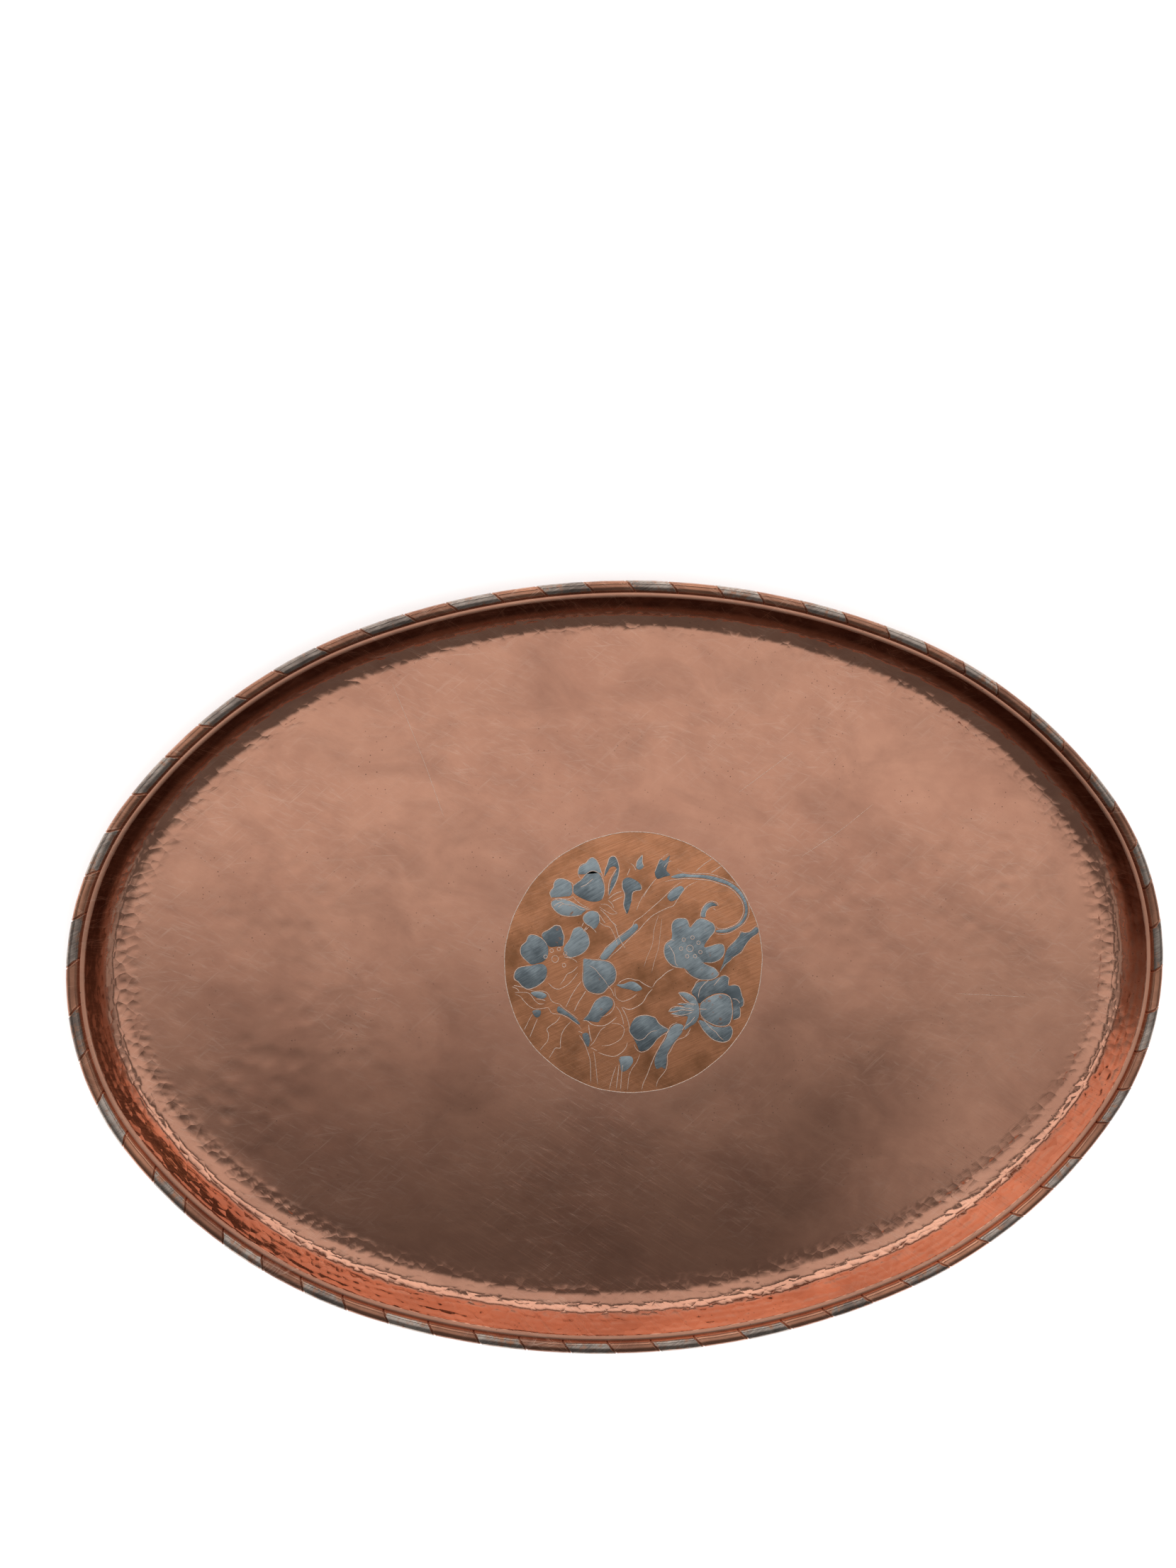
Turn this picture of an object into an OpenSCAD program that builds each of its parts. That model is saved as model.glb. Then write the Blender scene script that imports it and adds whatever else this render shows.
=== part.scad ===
// Hammered copper serving tray: an oval sheet raised into a shallow dish, its edge rolled over an
// iron wire, with hot-wiped tin on every second rim segment and inside an engraved flower medallion.
// Frame: origin under the middle of the tray, +X along its length, +Z up, the floor's underside at z = 0.

/* [Tray] */
// Radius of the arcs at the oval's two ends, at the copper's outer edge
end_r = 152; // [146:1:158]
// How much larger the radius of the four shoulder arcs is
shoulder_gain = 118; // [112:1:124]
// How much larger again the radius of the two side arcs is
side_gain = 152; // [146:1:158]
// Thickness of the copper sheet
sheet_t = 1.2; // [0.8:0.1:2]

/* [Wall] */
// Plan width from the rim's outer edge to the foot of the cove
foot_in = 24.7; // [22:0.1:30]
// Radius of the cove between the floor and the wall
cove_r = 12; // [8:0.5:13]
// Slope of the wall above the cove
wall_slope = 70; // [60:1:80]
// Height of the crease where the wall turns out into the lip
crease_z = 22.2; // [20:0.1:24]

/* [Rim] */
// Diameter of the rolled bead, bare copper
bead_d = 6.5; // [5.5:0.1:8]
// Height of the bead's centre
bead_z = 22.9; // [22:0.1:25]
// Thickness of the tin
tin_t = 0.15; // [0.1:0.05:0.2]
// Number of segments around the rim, every second one tinned
rim_segments = 66; // [60:2:72]
// Width of the chased groove between two segments
groove_w = 0.8; // [0.4:0.1:1.5]
// Distance from the middle of the long side to the first groove, clockwise seen from above
first_groove = 16; // [0:0.5:24]
// Gap where the rolled edge closes under the bead
seam_gap = 0.4; // [0.2:0.1:0.6]

/* [Medallion] */
// Radius of the engraved ring
ring_r = 73; // [70:0.5:78]
// Width of the engraved ring's groove
ring_groove_w = 0.6; // [0.4:0.1:1]
// Depth of the engraved ring's groove
ring_groove_h = 0.3; // [0.1:0.05:0.4]
// Middle of the medallion along X
medallion_x = -1; // [-5:0.5:5]
// Middle of the medallion along Y
medallion_y = -1.5; // [-5:0.5:5]

/* [Hidden] */
$fn = 96;

copper = "#b26a45";
iron = "#4b4744";
tin = "#8e8f92";

// The oval is drawn with a compass: eight arcs meet with no corner, because the centres of two
// neighbours lie on one line with their joint. The joints' directions from the centres are those of
// right triangles with whole sides, so each centre is a round number.
to_shoulder = [0.8, 0.6];
to_side = [0.352, 0.936];
shoulder_r = end_r + shoulder_gain;
side_r = shoulder_r + side_gain;
end_c = [shoulder_gain * to_shoulder[0] + side_gain * to_side[0], 0];
shoulder_c = end_c - shoulder_gain * to_shoulder;
side_c = shoulder_c - side_gain * to_side;
half_l = end_c[0] + end_r;
half_w = side_c[1] + side_r;

// Each arc: its centre, its radius and the directions where it starts and ends, anticlockwise.
function over_y(p) = [-p[0], p[1]];
function over_x(p) = [p[0], -p[1]];
ARCS = [
  [end_c, end_r, over_x(to_shoulder), to_shoulder],
  [shoulder_c, shoulder_r, to_shoulder, to_side],
  [side_c, side_r, to_side, over_y(to_side)],
  [over_y(shoulder_c), shoulder_r, over_y(to_side), over_y(to_shoulder)],
  [-end_c, end_r, over_y(to_shoulder), -to_shoulder],
  [-shoulder_c, shoulder_r, -to_shoulder, -to_side],
  [-side_c, side_r, -to_side, over_x(to_side)],
  [over_x(shoulder_c), shoulder_r, over_x(to_side), over_x(to_shoulder)]
];
function heading(p) = atan2(p[1], p[0]);
function arc_turn(arc) = (heading(arc[3]) - heading(arc[2]) + 360) % 360;
function arc_length(arc) = arc[1] * arc_turn(arc) * PI / 180;
function length_before(i) = i == 0 ? 0 : length_before(i - 1) + arc_length(ARCS[i - 1]);
perimeter = length_before(len(ARCS));
segment_l = perimeter / rim_segments;

// Section of the tray, with x = 0 on the bare bead's outer edge, x falling towards the middle.
bead_r = bead_d / 2;
wire_r = bead_r - sheet_t;
foot_x = -foot_in;
cove_z = sheet_t + cove_r;
wall_top_x = foot_x + cove_r * sin(wall_slope)
  + (crease_z - cove_z + cove_r * cos(wall_slope)) / tan(wall_slope);
floor_overlap = 14;
plate_in = foot_in + floor_overlap / 2;

// The tin on the bead runs from low on its outside, over the top, to the lip inside.
tin_from = -50;
tin_to = 160;

// Carries a section right round the oval: a full turn about each arc's centre, of which the arc's
// own wedge is kept.
module around() {
  reach = 1000;
  for (arc = ARCS)
    translate([arc[0][0], arc[0][1], 0])
      intersection() {
        rotate_extrude()
          translate([arc[1], 0])
            children();
        translate([0, 0, -bead_z])
          linear_extrude(3 * bead_z)
            polygon([[0, 0], reach * arc[2], reach * (arc[2] + arc[3]), reach * arc[3]]);
      }
}

// Carries a section over part of the edge, from one distance along it to another. A stretch that
// crosses from one arc to the next parts there by a hair.
module along(from, to) {
  parting = 0.02;
  for (i = [0:len(ARCS) - 1]) {
    arc = ARCS[i];
    before = length_before(i);
    lo = max(from, before + parting);
    hi = min(to, before + arc_length(arc) - parting);
    per_mm = arc_turn(arc) / arc_length(arc);
    if (hi > lo)
      translate([arc[0][0], arc[0][1], 0])
        rotate_extrude(angle = (hi - lo) * per_mm, start = heading(arc[2]) + (lo - before) * per_mm)
          translate([arc[1], 0])
            children();
  }
}

// A pie slice of a circle, between two angles that differ by less than 180.
module slice(r, from, to) {
  middle = (from + to) / 2;
  polygon([[0, 0], for (q = [from, middle, to]) 2 * r * [cos(q), sin(q)]]);
}

module cove_section() {
  translate([foot_x, cove_z])
    intersection() {
      difference() {
        circle(r = cove_r + sheet_t);
        circle(r = cove_r);
      }
      slice(cove_r + sheet_t, -90, wall_slope - 90);
    }
}

module floor_section() {
  translate([foot_x - floor_overlap, 0])
    square([floor_overlap, sheet_t]);
}

// The straight wall and the lip that carries it out to the bead.
module wall_section() {
  along_wall = [cos(wall_slope), sin(wall_slope)];
  square_out = [sin(wall_slope), -cos(wall_slope)];
  foot = [foot_x, cove_z] + cove_r * square_out;
  top = [wall_top_x, crease_z];
  under_l = norm(top - foot) - sheet_t * tan((90 - wall_slope) / 2 + 10);
  under_top = foot + sheet_t * square_out + under_l * along_wall;
  polygon([
    foot,
    foot + sheet_t * square_out,
    under_top,
    [-bead_r, under_top[1]],
    [-bead_r, crease_z + sheet_t / 4],
    top
  ]);
}

module bead_section() {
  difference() {
    translate([-bead_r, bead_z])
      circle(r = bead_r);
    // The rolled edge closes with a narrow seam, low on the inner side.
    translate([-bead_r, bead_z])
      rotate(245)
        translate([0, -seam_gap / 2])
          square([2 * bead_r, seam_gap]);
  }
}

module sheet_section() {
  difference() {
    union() {
      floor_section();
      cove_section();
      wall_section();
      bead_section();
    }
    wire_section();
  }
}

module wire_section() {
  translate([-bead_r, bead_z])
    circle(r = wire_r);
}

module tin_section() {
  translate([-bead_r, bead_z])
    for (from = [tin_from, (tin_from + tin_to) / 2])
      intersection() {
        difference() {
          circle(r = bead_r + tin_t);
          circle(r = bead_r);
        }
        slice(bead_r + tin_t, from, from + (tin_to - tin_from) / 2);
      }
}

module tray_sheet() {
  color(copper) difference() {
    union() {
      around()
        sheet_section();
      linear_extrude(sheet_t)
        polygon([for (q = [0:4:356]) [(half_l - plate_in) * cos(q), (half_w - plate_in) * sin(q)]]);
    }
    translate([medallion_x, medallion_y, sheet_t])
      rotate_extrude()
        translate([ring_r, 0])
          polygon([[-ring_groove_w / 2, 0.05], [0, -ring_groove_h], [ring_groove_w / 2, 0.05]]);
  }
}

module rim_wire() {
  color(iron) around()
    wire_section();
}

module rim_tin_bands() {
  quarter = length_before(2) + arc_length(ARCS[2]) / 2;
  color(tin)
    for (j = [0:2:rim_segments - 2]) {
      from = quarter - first_groove + j * segment_l;
      wrapped = from - (from >= perimeter ? perimeter : 0);
      lo = wrapped + groove_w / 2;
      hi = wrapped + segment_l - groove_w / 2;
      along(lo, hi)
        tin_section();
      if (hi > perimeter)
        along(max(0, lo - perimeter), hi - perimeter)
          tin_section();
    }
}

// A smooth closed line through points chosen by hand, four steps to each span.
function curve_at(a, b, c, d, u) =
  b + u * (c - a) / 2 + u * u * (a - 2.5 * b + 2 * c - d / 2) + u * u * u * (1.5 * b - a / 2 - 1.5 * c + d / 2);
function smooth(p, steps = 4) = [
  for (i = [0:len(p) - 1], j = [0:steps - 1])
    curve_at(
      p[(i + len(p) - 1) % len(p)], p[i], p[(i + 1) % len(p)], p[(i + 2) % len(p)], j / steps
    )
];

// A patch of tin on the floor, from its outline in the medallion's own frame.
module tin_patch(outline) {
  color(tin)
    translate([medallion_x, medallion_y, sheet_t])
      linear_extrude(tin_t)
        polygon(smooth(outline));
}

module tin_upper_blossom() {
  tin_patch([
    [-28, 49.6], [-31.8, 49.9], [-31.3, 53.2], [-28, 55.7], [-25.7, 57.9], [-23.8, 58.9],
    [-21.4, 57.4], [-19.5, 53.5], [-18.8, 50.5], [-22, 50]
  ]);
  tin_patch([
    [-34, 39], [-34.2, 43.2], [-32.6, 45], [-29.6, 47], [-27.3, 49.6], [-24.7, 51.2],
    [-21.9, 51.1], [-19.5, 49.3], [-17.7, 45], [-17, 40.5], [-18.4, 35.6], [-22.5, 34.2],
    [-27.5, 35.2]
  ]);
  tin_patch([
    [-46.6, 37], [-47.4, 39.5], [-45.9, 42.3], [-45, 45.4], [-41.8, 47.4], [-37.6, 46.3],
    [-35.4, 43.8], [-35.6, 38.2], [-39.9, 37.3]
  ]);
  tin_patch([
    [-46.2, 35], [-46.6, 32.7], [-43.4, 28.3], [-37.1, 26.4], [-31.2, 26.8], [-28.9, 28.4],
    [-27.6, 29.9], [-32.1, 32.6], [-37, 35.2], [-41.5, 36]
  ]);
}

module tin_upper_calyx() {
  tin_patch([
    [-26.3, 28.6], [-28.5, 26.6], [-29, 24.6], [-27.9, 22.4], [-25.6, 20.7], [-22.8, 19],
    [-20.6, 21.5], [-19.7, 25.4], [-21.2, 28.3], [-23.6, 29.2]
  ]);
}

module tin_loop_petal() {
  tin_patch([
    [-17, 48.4], [-16.4, 52], [-14.6, 57.4], [-12.3, 59.5], [-10.2, 58], [-8.8, 53.6],
    [-9.2, 48.6], [-11.6, 42.6], [-14.4, 37.6], [-14, 42], [-12.9, 46.6], [-10.2, 51.8],
    [-11.2, 53.7], [-13.6, 53.2], [-15.4, 50.4]
  ]);
}

module tin_left_blossom() {
  tin_patch([
    [-58.8, 0.2], [-63.6, 5.2], [-64, 9.2], [-61, 12.7], [-59.5, 15.8], [-55.4, 16],
    [-51, 13], [-48.8, 9.6], [-48.9, 5], [-51, 1.8], [-55, 0.4]
  ]);
  tin_patch([
    [-48.4, 9.9], [-52, 15.2], [-51, 17.7], [-47, 20], [-44.4, 21.4], [-41.6, 20.4],
    [-39.9, 15], [-40.4, 10.2], [-44.2, 9.6]
  ]);
  tin_patch([
    [-39.2, 10.2], [-36.3, 14.6], [-34.4, 19], [-31, 20.1], [-28, 18], [-25.8, 13.2],
    [-26.2, 8.9], [-30.4, 5.2], [-35.8, 3.5], [-39.2, 5.6], [-40.1, 8.2]
  ]);
  tin_patch([
    [-59, -0.9], [-65, -1.9], [-67.7, -6], [-65.4, -9.6], [-60.6, -13.4], [-54.6, -11.8],
    [-50.4, -8], [-49.4, -3], [-51.4, -0.2], [-55, 0]
  ]);
}

module tin_right_blossom() {
  tin_patch([
    [21.2, 15], [20.9, 19.6], [22.7, 23.1], [26.4, 24.2], [29.8, 23.2], [31.4, 19],
    [35, 22.8], [38, 23.8], [44, 21.3], [46, 17.9], [43.6, 13.8], [40.8, 10.6],
    [39.9, 7.6], [46, 9.1], [50.4, 8.7], [51.1, 4.6], [48.8, 0.8], [44, -1],
    [39.2, -1.2], [44.8, -4], [47.6, -7.4], [45, -10.2], [38.6, -10.6], [32.4, -8.2],
    [28.4, -4.2], [23.8, -3.2], [18.6, 0.2], [16.8, 4.4], [17.4, 9.4], [20.4, 12]
  ]);
}

module tin_rose_petals() {
  tin_patch([
    [37.3, -24.7], [41.6, -21], [46.6, -19.2], [51.8, -19.5], [54.8, -22.4], [55.6, -28.4],
    [54.3, -34.8], [50.6, -37], [45.4, -36.3], [40.4, -33.8], [37.3, -29.6]
  ]);
  tin_patch([
    [32.4, -17.9], [34.4, -13.4], [37.4, -11.6], [43, -11.4], [48.6, -9.3], [51.4, -8.7],
    [53.6, -10.4], [53.6, -14.2], [57.3, -14.2], [60.1, -16.2], [61.8, -22], [61.6, -25.8],
    [60, -27.4], [59.9, -31.6], [57, -33.4], [55.9, -33.2], [56, -26], [54.8, -21.6],
    [51.8, -18.9], [46.4, -18.6], [41.2, -20.4], [36.6, -24], [34.6, -20.6]
  ]);
  tin_patch([
    [36.2, -33.6], [40.4, -34.6], [45, -37.1], [50.6, -37.8], [54.3, -37.2], [55.5, -40.4],
    [54, -44.4], [50, -46], [44.4, -44.3], [39.8, -40.2]
  ]);
}

module tin_rose_sepals() {
  tin_patch([
    [24.8, -17.8], [28.4, -17.6], [33.2, -20], [35.7, -23.4], [36.5, -27], [36.2, -31.4],
    [34.4, -34.8], [31, -37], [28, -38.6], [28.8, -35], [29.8, -31.2], [26, -30.9],
    [20.4, -29.4], [24.6, -28.2], [19.2, -27.9], [23, -25.8], [28, -25.2], [24.2, -24.2],
    [29, -23.6], [30.6, -23]
  ]);
}

module tin_rose_stem() {
  tin_patch([
    [24, -35], [20.8, -36.6], [18.8, -39.4], [17.4, -43], [14.4, -47.4], [11.6, -52.6],
    [10.8, -56.6], [12, -60], [14.8, -59.2], [16.8, -60.2], [17.8, -56.4], [18, -52.4],
    [20.6, -47.6], [23.6, -43.8], [26.6, -40], [27.4, -36.4]
  ]);
}

module tin_upper_leaf() {
  tin_patch([
    [-28.9, 2.4], [-24, 1.7], [-17.3, 1], [-13.2, -0.9], [-10.9, -5], [-11.6, -10.2],
    [-15.2, -13.4], [-18.2, -16.5], [-22.6, -16.8], [-27, -14.7], [-29.2, -9.6], [-29, -3.6]
  ]);
}

module tin_middle_leaf() {
  tin_patch([
    [-29, -31.3], [-26.2, -28], [-23.8, -23.4], [-20.6, -19.9], [-16.4, -18.8], [-13, -20.8],
    [-12.8, -24.4], [-16.4, -28.2], [-19.2, -30.8], [-21, -33], [-25, -32.4]
  ]);
}

module tin_centre_leaf() {
  tin_patch([
    [-10.4, -12.4], [-6.4, -12], [-3, -10.8], [0.4, -11.4], [4, -14.8], [1, -16.4],
    [-3.4, -15.2], [-7.6, -14.2]
  ]);
}

module tin_lower_leaf() {
  tin_patch([
    [-1.6, -33.2], [1.6, -30.6], [6.4, -30], [11, -31.5], [14.2, -35], [18.8, -38.2],
    [14.6, -41.4], [10.4, -46], [6.6, -49.2], [2.6, -49.8], [0.9, -46.4], [-1.8, -41],
    [-3.2, -38]
  ]);
}

module tin_left_bud() {
  tin_patch([
    [-6.4, 46], [-3.6, 47.6], [0.6, 46], [3.4, 43.6], [3.6, 40.6], [-1, 39.4],
    [-2, 33.4], [-4.4, 27], [-6, 32], [-5.4, 37.6], [-6.8, 42]
  ]);
  tin_patch([
    [1, 53], [1.6, 56.4], [4.6, 60], [4.4, 56], [5.2, 53.4], [3, 51.8]
  ]);
}

module tin_right_bud() {
  tin_patch([
    [11.6, 50], [13.4, 54.4], [14.6, 57.6], [17, 56.8], [20.2, 59.6], [19.2, 55.2],
    [18.2, 51.4], [20.4, 48.6], [16.8, 47.6], [13, 46.6]
  ]);
}

module tin_tendril() {
  tin_patch([
    [20.8, 47.6], [26.4, 49.4], [32, 48.8], [40.4, 48.4], [48.4, 46.6], [55, 43.8],
    [60.4, 39.6], [63.8, 34], [64.9, 28], [63.4, 22.6], [59.6, 18.8], [53.6, 15.8],
    [47, 15.8], [47, 17.2], [53, 17.7], [58.8, 20.2], [62.4, 24.6], [63.1, 30],
    [60.4, 36.2], [54.4, 41.8], [47.6, 44.4], [39.9, 46.4], [30.4, 47.1], [24, 46.7]
  ]);
}

module tin_hook() {
  tin_patch([
    [38, 24.8], [38.3, 28], [40.4, 31.4], [43.6, 33], [46.2, 32.2], [47.2, 30.9],
    [44.3, 30.7], [41.8, 29.2], [40.6, 26.8], [40.3, 24.6]
  ]);
}

module tin_twig() {
  tin_patch([
    [52.4, 5.4], [56.2, 9.6], [59.8, 13.4], [61.2, 15.6], [65.6, 15.6], [69.8, 18.6],
    [70.8, 15.4], [66.8, 12.6], [63, 8], [60.6, 4.6], [55.6, 1], [51.4, -3.4],
    [48.8, -5.8], [50.4, -1.4]
  ]);
}

module tin_branch() {
  tin_patch([
    [-19.6, 2.6], [-16.6, 7.6], [-11, 12.4], [-5, 17], [0.4, 21.6], [1.8, 18.8],
    [-3.6, 13.6], [-9.6, 9.4], [-13.6, 4.6], [-16.4, 1.8]
  ]);
  tin_patch([
    [18.6, 36.6], [21.4, 40.2], [26, 42.4], [28.2, 40.4], [24.8, 35.6], [20.6, 33.8]
  ]);
}

module tin_trunk() {
  tin_patch([
    [-58.4, -15.6], [-52.6, -15.4], [-49.6, -17.4], [-51.6, -19.2], [-55.6, -18.4]
  ]);
  tin_patch([
    [-43, -23.6], [-38.6, -26.6], [-34, -30.2], [-31, -33.8], [-33.4, -33.2], [-38, -29.4],
    [-43.6, -26.8]
  ]);
  tin_patch([
    [-29.8, -39.6], [-26.8, -39], [-25.6, -43], [-26.6, -46.6], [-28.6, -44]
  ]);
  tin_patch([
    [-57.6, -25.9], [-53.2, -25.6], [-53.4, -28.6], [-55.8, -29.4]
  ]);
}

module tin_grass() {
  tin_patch([
    [-9.4, -53.4], [-6.6, -52.4], [-2.2, -52.8], [-1.4, -56], [-4.8, -60.2], [-8, -60.8],
    [-8.6, -57]
  ]);
}

tray_sheet();
rim_wire();
rim_tin_bands();
tin_upper_blossom();
tin_upper_calyx();
tin_loop_petal();
tin_left_blossom();
tin_right_blossom();
tin_rose_petals();
tin_rose_sepals();
tin_rose_stem();
tin_upper_leaf();
tin_middle_leaf();
tin_centre_leaf();
tin_lower_leaf();
tin_left_bud();
tin_right_bud();
tin_tendril();
tin_hook();
tin_twig();
tin_branch();
tin_trunk();
tin_grass();
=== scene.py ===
"""Hammered copper serving tray: its looks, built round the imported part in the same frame, in metres."""

import math

import bpy
import numpy as np
from mathutils import Matrix


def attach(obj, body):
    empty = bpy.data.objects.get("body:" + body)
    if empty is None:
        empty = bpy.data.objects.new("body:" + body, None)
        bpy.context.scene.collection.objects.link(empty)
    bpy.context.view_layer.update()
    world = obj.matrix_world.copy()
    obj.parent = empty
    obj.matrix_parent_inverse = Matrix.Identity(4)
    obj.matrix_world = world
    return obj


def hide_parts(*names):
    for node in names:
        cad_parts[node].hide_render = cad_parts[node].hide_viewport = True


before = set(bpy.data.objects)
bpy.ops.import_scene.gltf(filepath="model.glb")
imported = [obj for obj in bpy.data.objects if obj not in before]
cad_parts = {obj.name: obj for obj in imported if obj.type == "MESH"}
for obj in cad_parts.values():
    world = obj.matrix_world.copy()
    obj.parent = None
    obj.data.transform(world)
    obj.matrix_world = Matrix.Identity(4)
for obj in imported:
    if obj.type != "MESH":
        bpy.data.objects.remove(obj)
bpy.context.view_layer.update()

MM = 0.001

# ---------------------------------------------------------------------------------------------
# Camera: nearly straight above the tray, a little to the left and a little past the middle.
# ---------------------------------------------------------------------------------------------
CAMERA_PLACE = (-0.1001, 0.0923, 0.6546)
CAMERA_TILT = (0.576, -6.384, -0.284)


def set_camera():
    """A 27 mm lens; its axes are turned about X, then Y, then Z."""
    data = bpy.data.cameras.new("camera")
    data.lens = 27.0
    data.sensor_width = 36.0
    data.clip_start = 0.01
    data.clip_end = 60.0
    camera = bpy.data.objects.new("camera", data)
    bpy.context.scene.collection.objects.link(camera)
    turn = Matrix.Identity(4)
    for axis, angle in zip("XYZ", CAMERA_TILT):
        turn = Matrix.Rotation(math.radians(angle), 4, axis) @ turn
    camera.matrix_world = Matrix.Translation(CAMERA_PLACE) @ turn
    bpy.context.scene.camera = camera


set_camera()

# ---------------------------------------------------------------------------------------------
# The oval and the tray's section, with the values that the part itself is made to.
# ---------------------------------------------------------------------------------------------
RADII = np.array([152.0, 270.0, 422.0])
CENTRES = np.array([[147.904, 0.0], [53.504, -70.8], [0.0, -213.072]])
JOINTS = np.degrees([math.atan2(0.6, 0.8), math.atan2(0.936, 0.352)])
SHEET_T = 1.2
FOOT_IN = 24.7
COVE_R = 12.0
COVE_Z = SHEET_T + COVE_R
WALL_SLOPE = 70.0
CREASE_IN = 8.66
CREASE_Z = 22.2
BEAD_R = 3.25
BEAD_Z = 22.9
SEGMENTS = 66
FIRST_GROOVE = 16.0
MEDALLION = np.array([-1.0, -1.5])
RING_R = 73.0


def edge(heading, inset):
    """A point of the oval, in mm, from the heading of its outward normal in radians: the centre of
    the arc that holds this heading, plus (radius - inset) times the heading's direction."""
    heading, inset = np.broadcast_arrays(np.asarray(heading, float), np.asarray(inset, float))
    along, across = np.cos(heading), np.sin(heading)
    folded = np.degrees(np.arctan2(np.abs(across), np.abs(along)))
    arc = (folded > JOINTS[0]).astype(int) + (folded > JOINTS[1]).astype(int)
    reach = RADII[arc] - inset
    x = np.sign(along) * CENTRES[arc, 0] + reach * along
    y = np.sign(across) * CENTRES[arc, 1] + reach * across
    return np.stack([x, y], axis=-1)


def edge_breaks():
    """Headings in degrees where the arcs meet, from the lower joint of the right-hand end round to
    itself, and the distance along the outer edge up to each."""
    a, b = JOINTS
    breaks = np.array([-a, a, b, 180 - b, 180 - a, 180 + a, 180 + b, 360 - b, 360 - a])
    radii = RADII[[0, 1, 2, 1, 0, 1, 2, 1]]
    lengths = np.radians(np.diff(breaks)) * radii
    return breaks, np.concatenate([[0.0], np.cumsum(lengths)])


BREAKS, DISTANCES = edge_breaks()
PERIMETER = DISTANCES[-1]
TOP_MIDDLE = np.interp(90.0, BREAKS, DISTANCES)


def heading_at(distance):
    """Heading in radians at a distance along the outer edge, anticlockwise; straight lines between
    the arcs' joints, since distance grows evenly with the heading on an arc."""
    turns, rest = np.divmod(distance, PERIMETER)
    return np.radians(np.interp(rest, DISTANCES, BREAKS) + 360.0 * turns)


def distance_at(heading):
    """Distance along the outer edge at a heading in radians: heading_at turned round."""
    turned = (np.degrees(heading) - BREAKS[0]) % 360.0 + BREAKS[0]
    return np.interp(turned, BREAKS, DISTANCES)


# ---------------------------------------------------------------------------------------------
# Mesh helpers
# ---------------------------------------------------------------------------------------------
def grid_faces(rows, columns, start=0, wrap_rows=False, wrap_columns=False, flip=False):
    """Quads of a grid of points numbered row by row; a wrapped side also joins last to first."""
    row = np.arange(rows if wrap_rows else rows - 1)
    column = np.arange(columns if wrap_columns else columns - 1)
    i, j = np.meshgrid(row, column, indexing="ij")
    after_i, after_j = (i + 1) % rows, (j + 1) % columns
    corners = [i * columns + j, i * columns + after_j, after_i * columns + after_j, after_i * columns + j]
    if flip:
        corners.reverse()
    return start + np.stack(corners, axis=-1).reshape(-1, 4)


def make_piece(name, points_mm, faces, finish, stands_for=(), values=None):
    """A smooth mesh from points in mm and faces of any size, riding on the tray's one body."""
    mesh = bpy.data.meshes.new(name)
    mesh.from_pydata((np.asarray(points_mm) * MM).tolist(), [], faces)
    for label, numbers in (values or {}).items():
        attribute = mesh.attributes.new(label, "FLOAT", "POINT")
        attribute.data.foreach_set("value", np.asarray(numbers, np.float32))
    mesh.polygons.foreach_set("use_smooth", np.ones(len(mesh.polygons), bool))
    mesh.update()
    mesh.materials.append(finish)
    piece = bpy.data.objects.new(name, mesh)
    bpy.context.scene.collection.objects.link(piece)
    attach(piece, "root")
    if stands_for:
        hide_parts(*stands_for)
    return piece


def smoothstep(low, high, value):
    """0 below low, 1 above high, and a smooth rise between."""
    t = np.clip((value - low) / (high - low), 0.0, 1.0)
    return t * t * (3.0 - 2.0 * t)


LATTICE = 256


def cell_numbers(seed, count):
    """Fixed random numbers from 0 to 1 for the cells of a lattice that repeats far off."""
    return np.random.default_rng(seed).random((count, LATTICE, LATTICE))


def hammer_marks(x, y, pitch, seed, reach_low, reach_high):
    """Round hammer marks: each lattice cell holds one shallow bowl at a random place, of a random
    reach and depth, and the deepest bowl over a point counts. Depth is from 0 to -1."""
    shift_x, shift_y, size, depth = cell_numbers(seed, 4)
    cell_x, cell_y = np.floor(x / pitch).astype(int), np.floor(y / pitch).astype(int)
    low = np.zeros_like(x)
    for step_x in (-1, 0, 1):
        for step_y in (-1, 0, 1):
            i, j = (cell_x + step_x) % LATTICE, (cell_y + step_y) % LATTICE
            centre_x = (cell_x + step_x + shift_x[i, j]) * pitch
            centre_y = (cell_y + step_y + shift_y[i, j]) * pitch
            reach = reach_low + (reach_high - reach_low) * size[i, j]
            bowl = 1.0 - ((x - centre_x) ** 2 + (y - centre_y) ** 2) / reach**2
            low = np.minimum(low, -(0.2 + 0.8 * depth[i, j] ** 2) * np.clip(bowl, 0.0, 1.0))
    return low


def planished(along, across, pitch_along, pitch_across, seed):
    """Planishing facets: staggered rows of shallow bowls that meet in ridges. The height is the
    squared distance from the nearest bowl's middle, over twice that bowl's own radius."""
    shift_x, shift_y, radius, level = cell_numbers(seed, 4)
    row = np.floor(across / pitch_across).astype(int)
    height = np.full_like(along, 1e6)
    for step_row in (-1, 0, 1):
        j = row + step_row
        offset = along / pitch_along - 0.5 * (j % 2)
        column = np.floor(offset).astype(int)
        for step_column in (-1, 0, 1):
            i = column + step_column
            a, b = i % LATTICE, j % LATTICE
            middle_x = (i + 0.5 * (j % 2) + 0.5 + 0.34 * (shift_x[a, b] - 0.5)) * pitch_along
            middle_y = (j + 0.5 + 0.4 * (shift_y[a, b] - 0.5)) * pitch_across
            squared = (along - middle_x) ** 2 + (across - middle_y) ** 2
            bowl = squared / (2.0 * (13.0 + 15.0 * radius[a, b])) + 0.04 * level[a, b]
            height = np.minimum(height, bowl)
    return height


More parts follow.
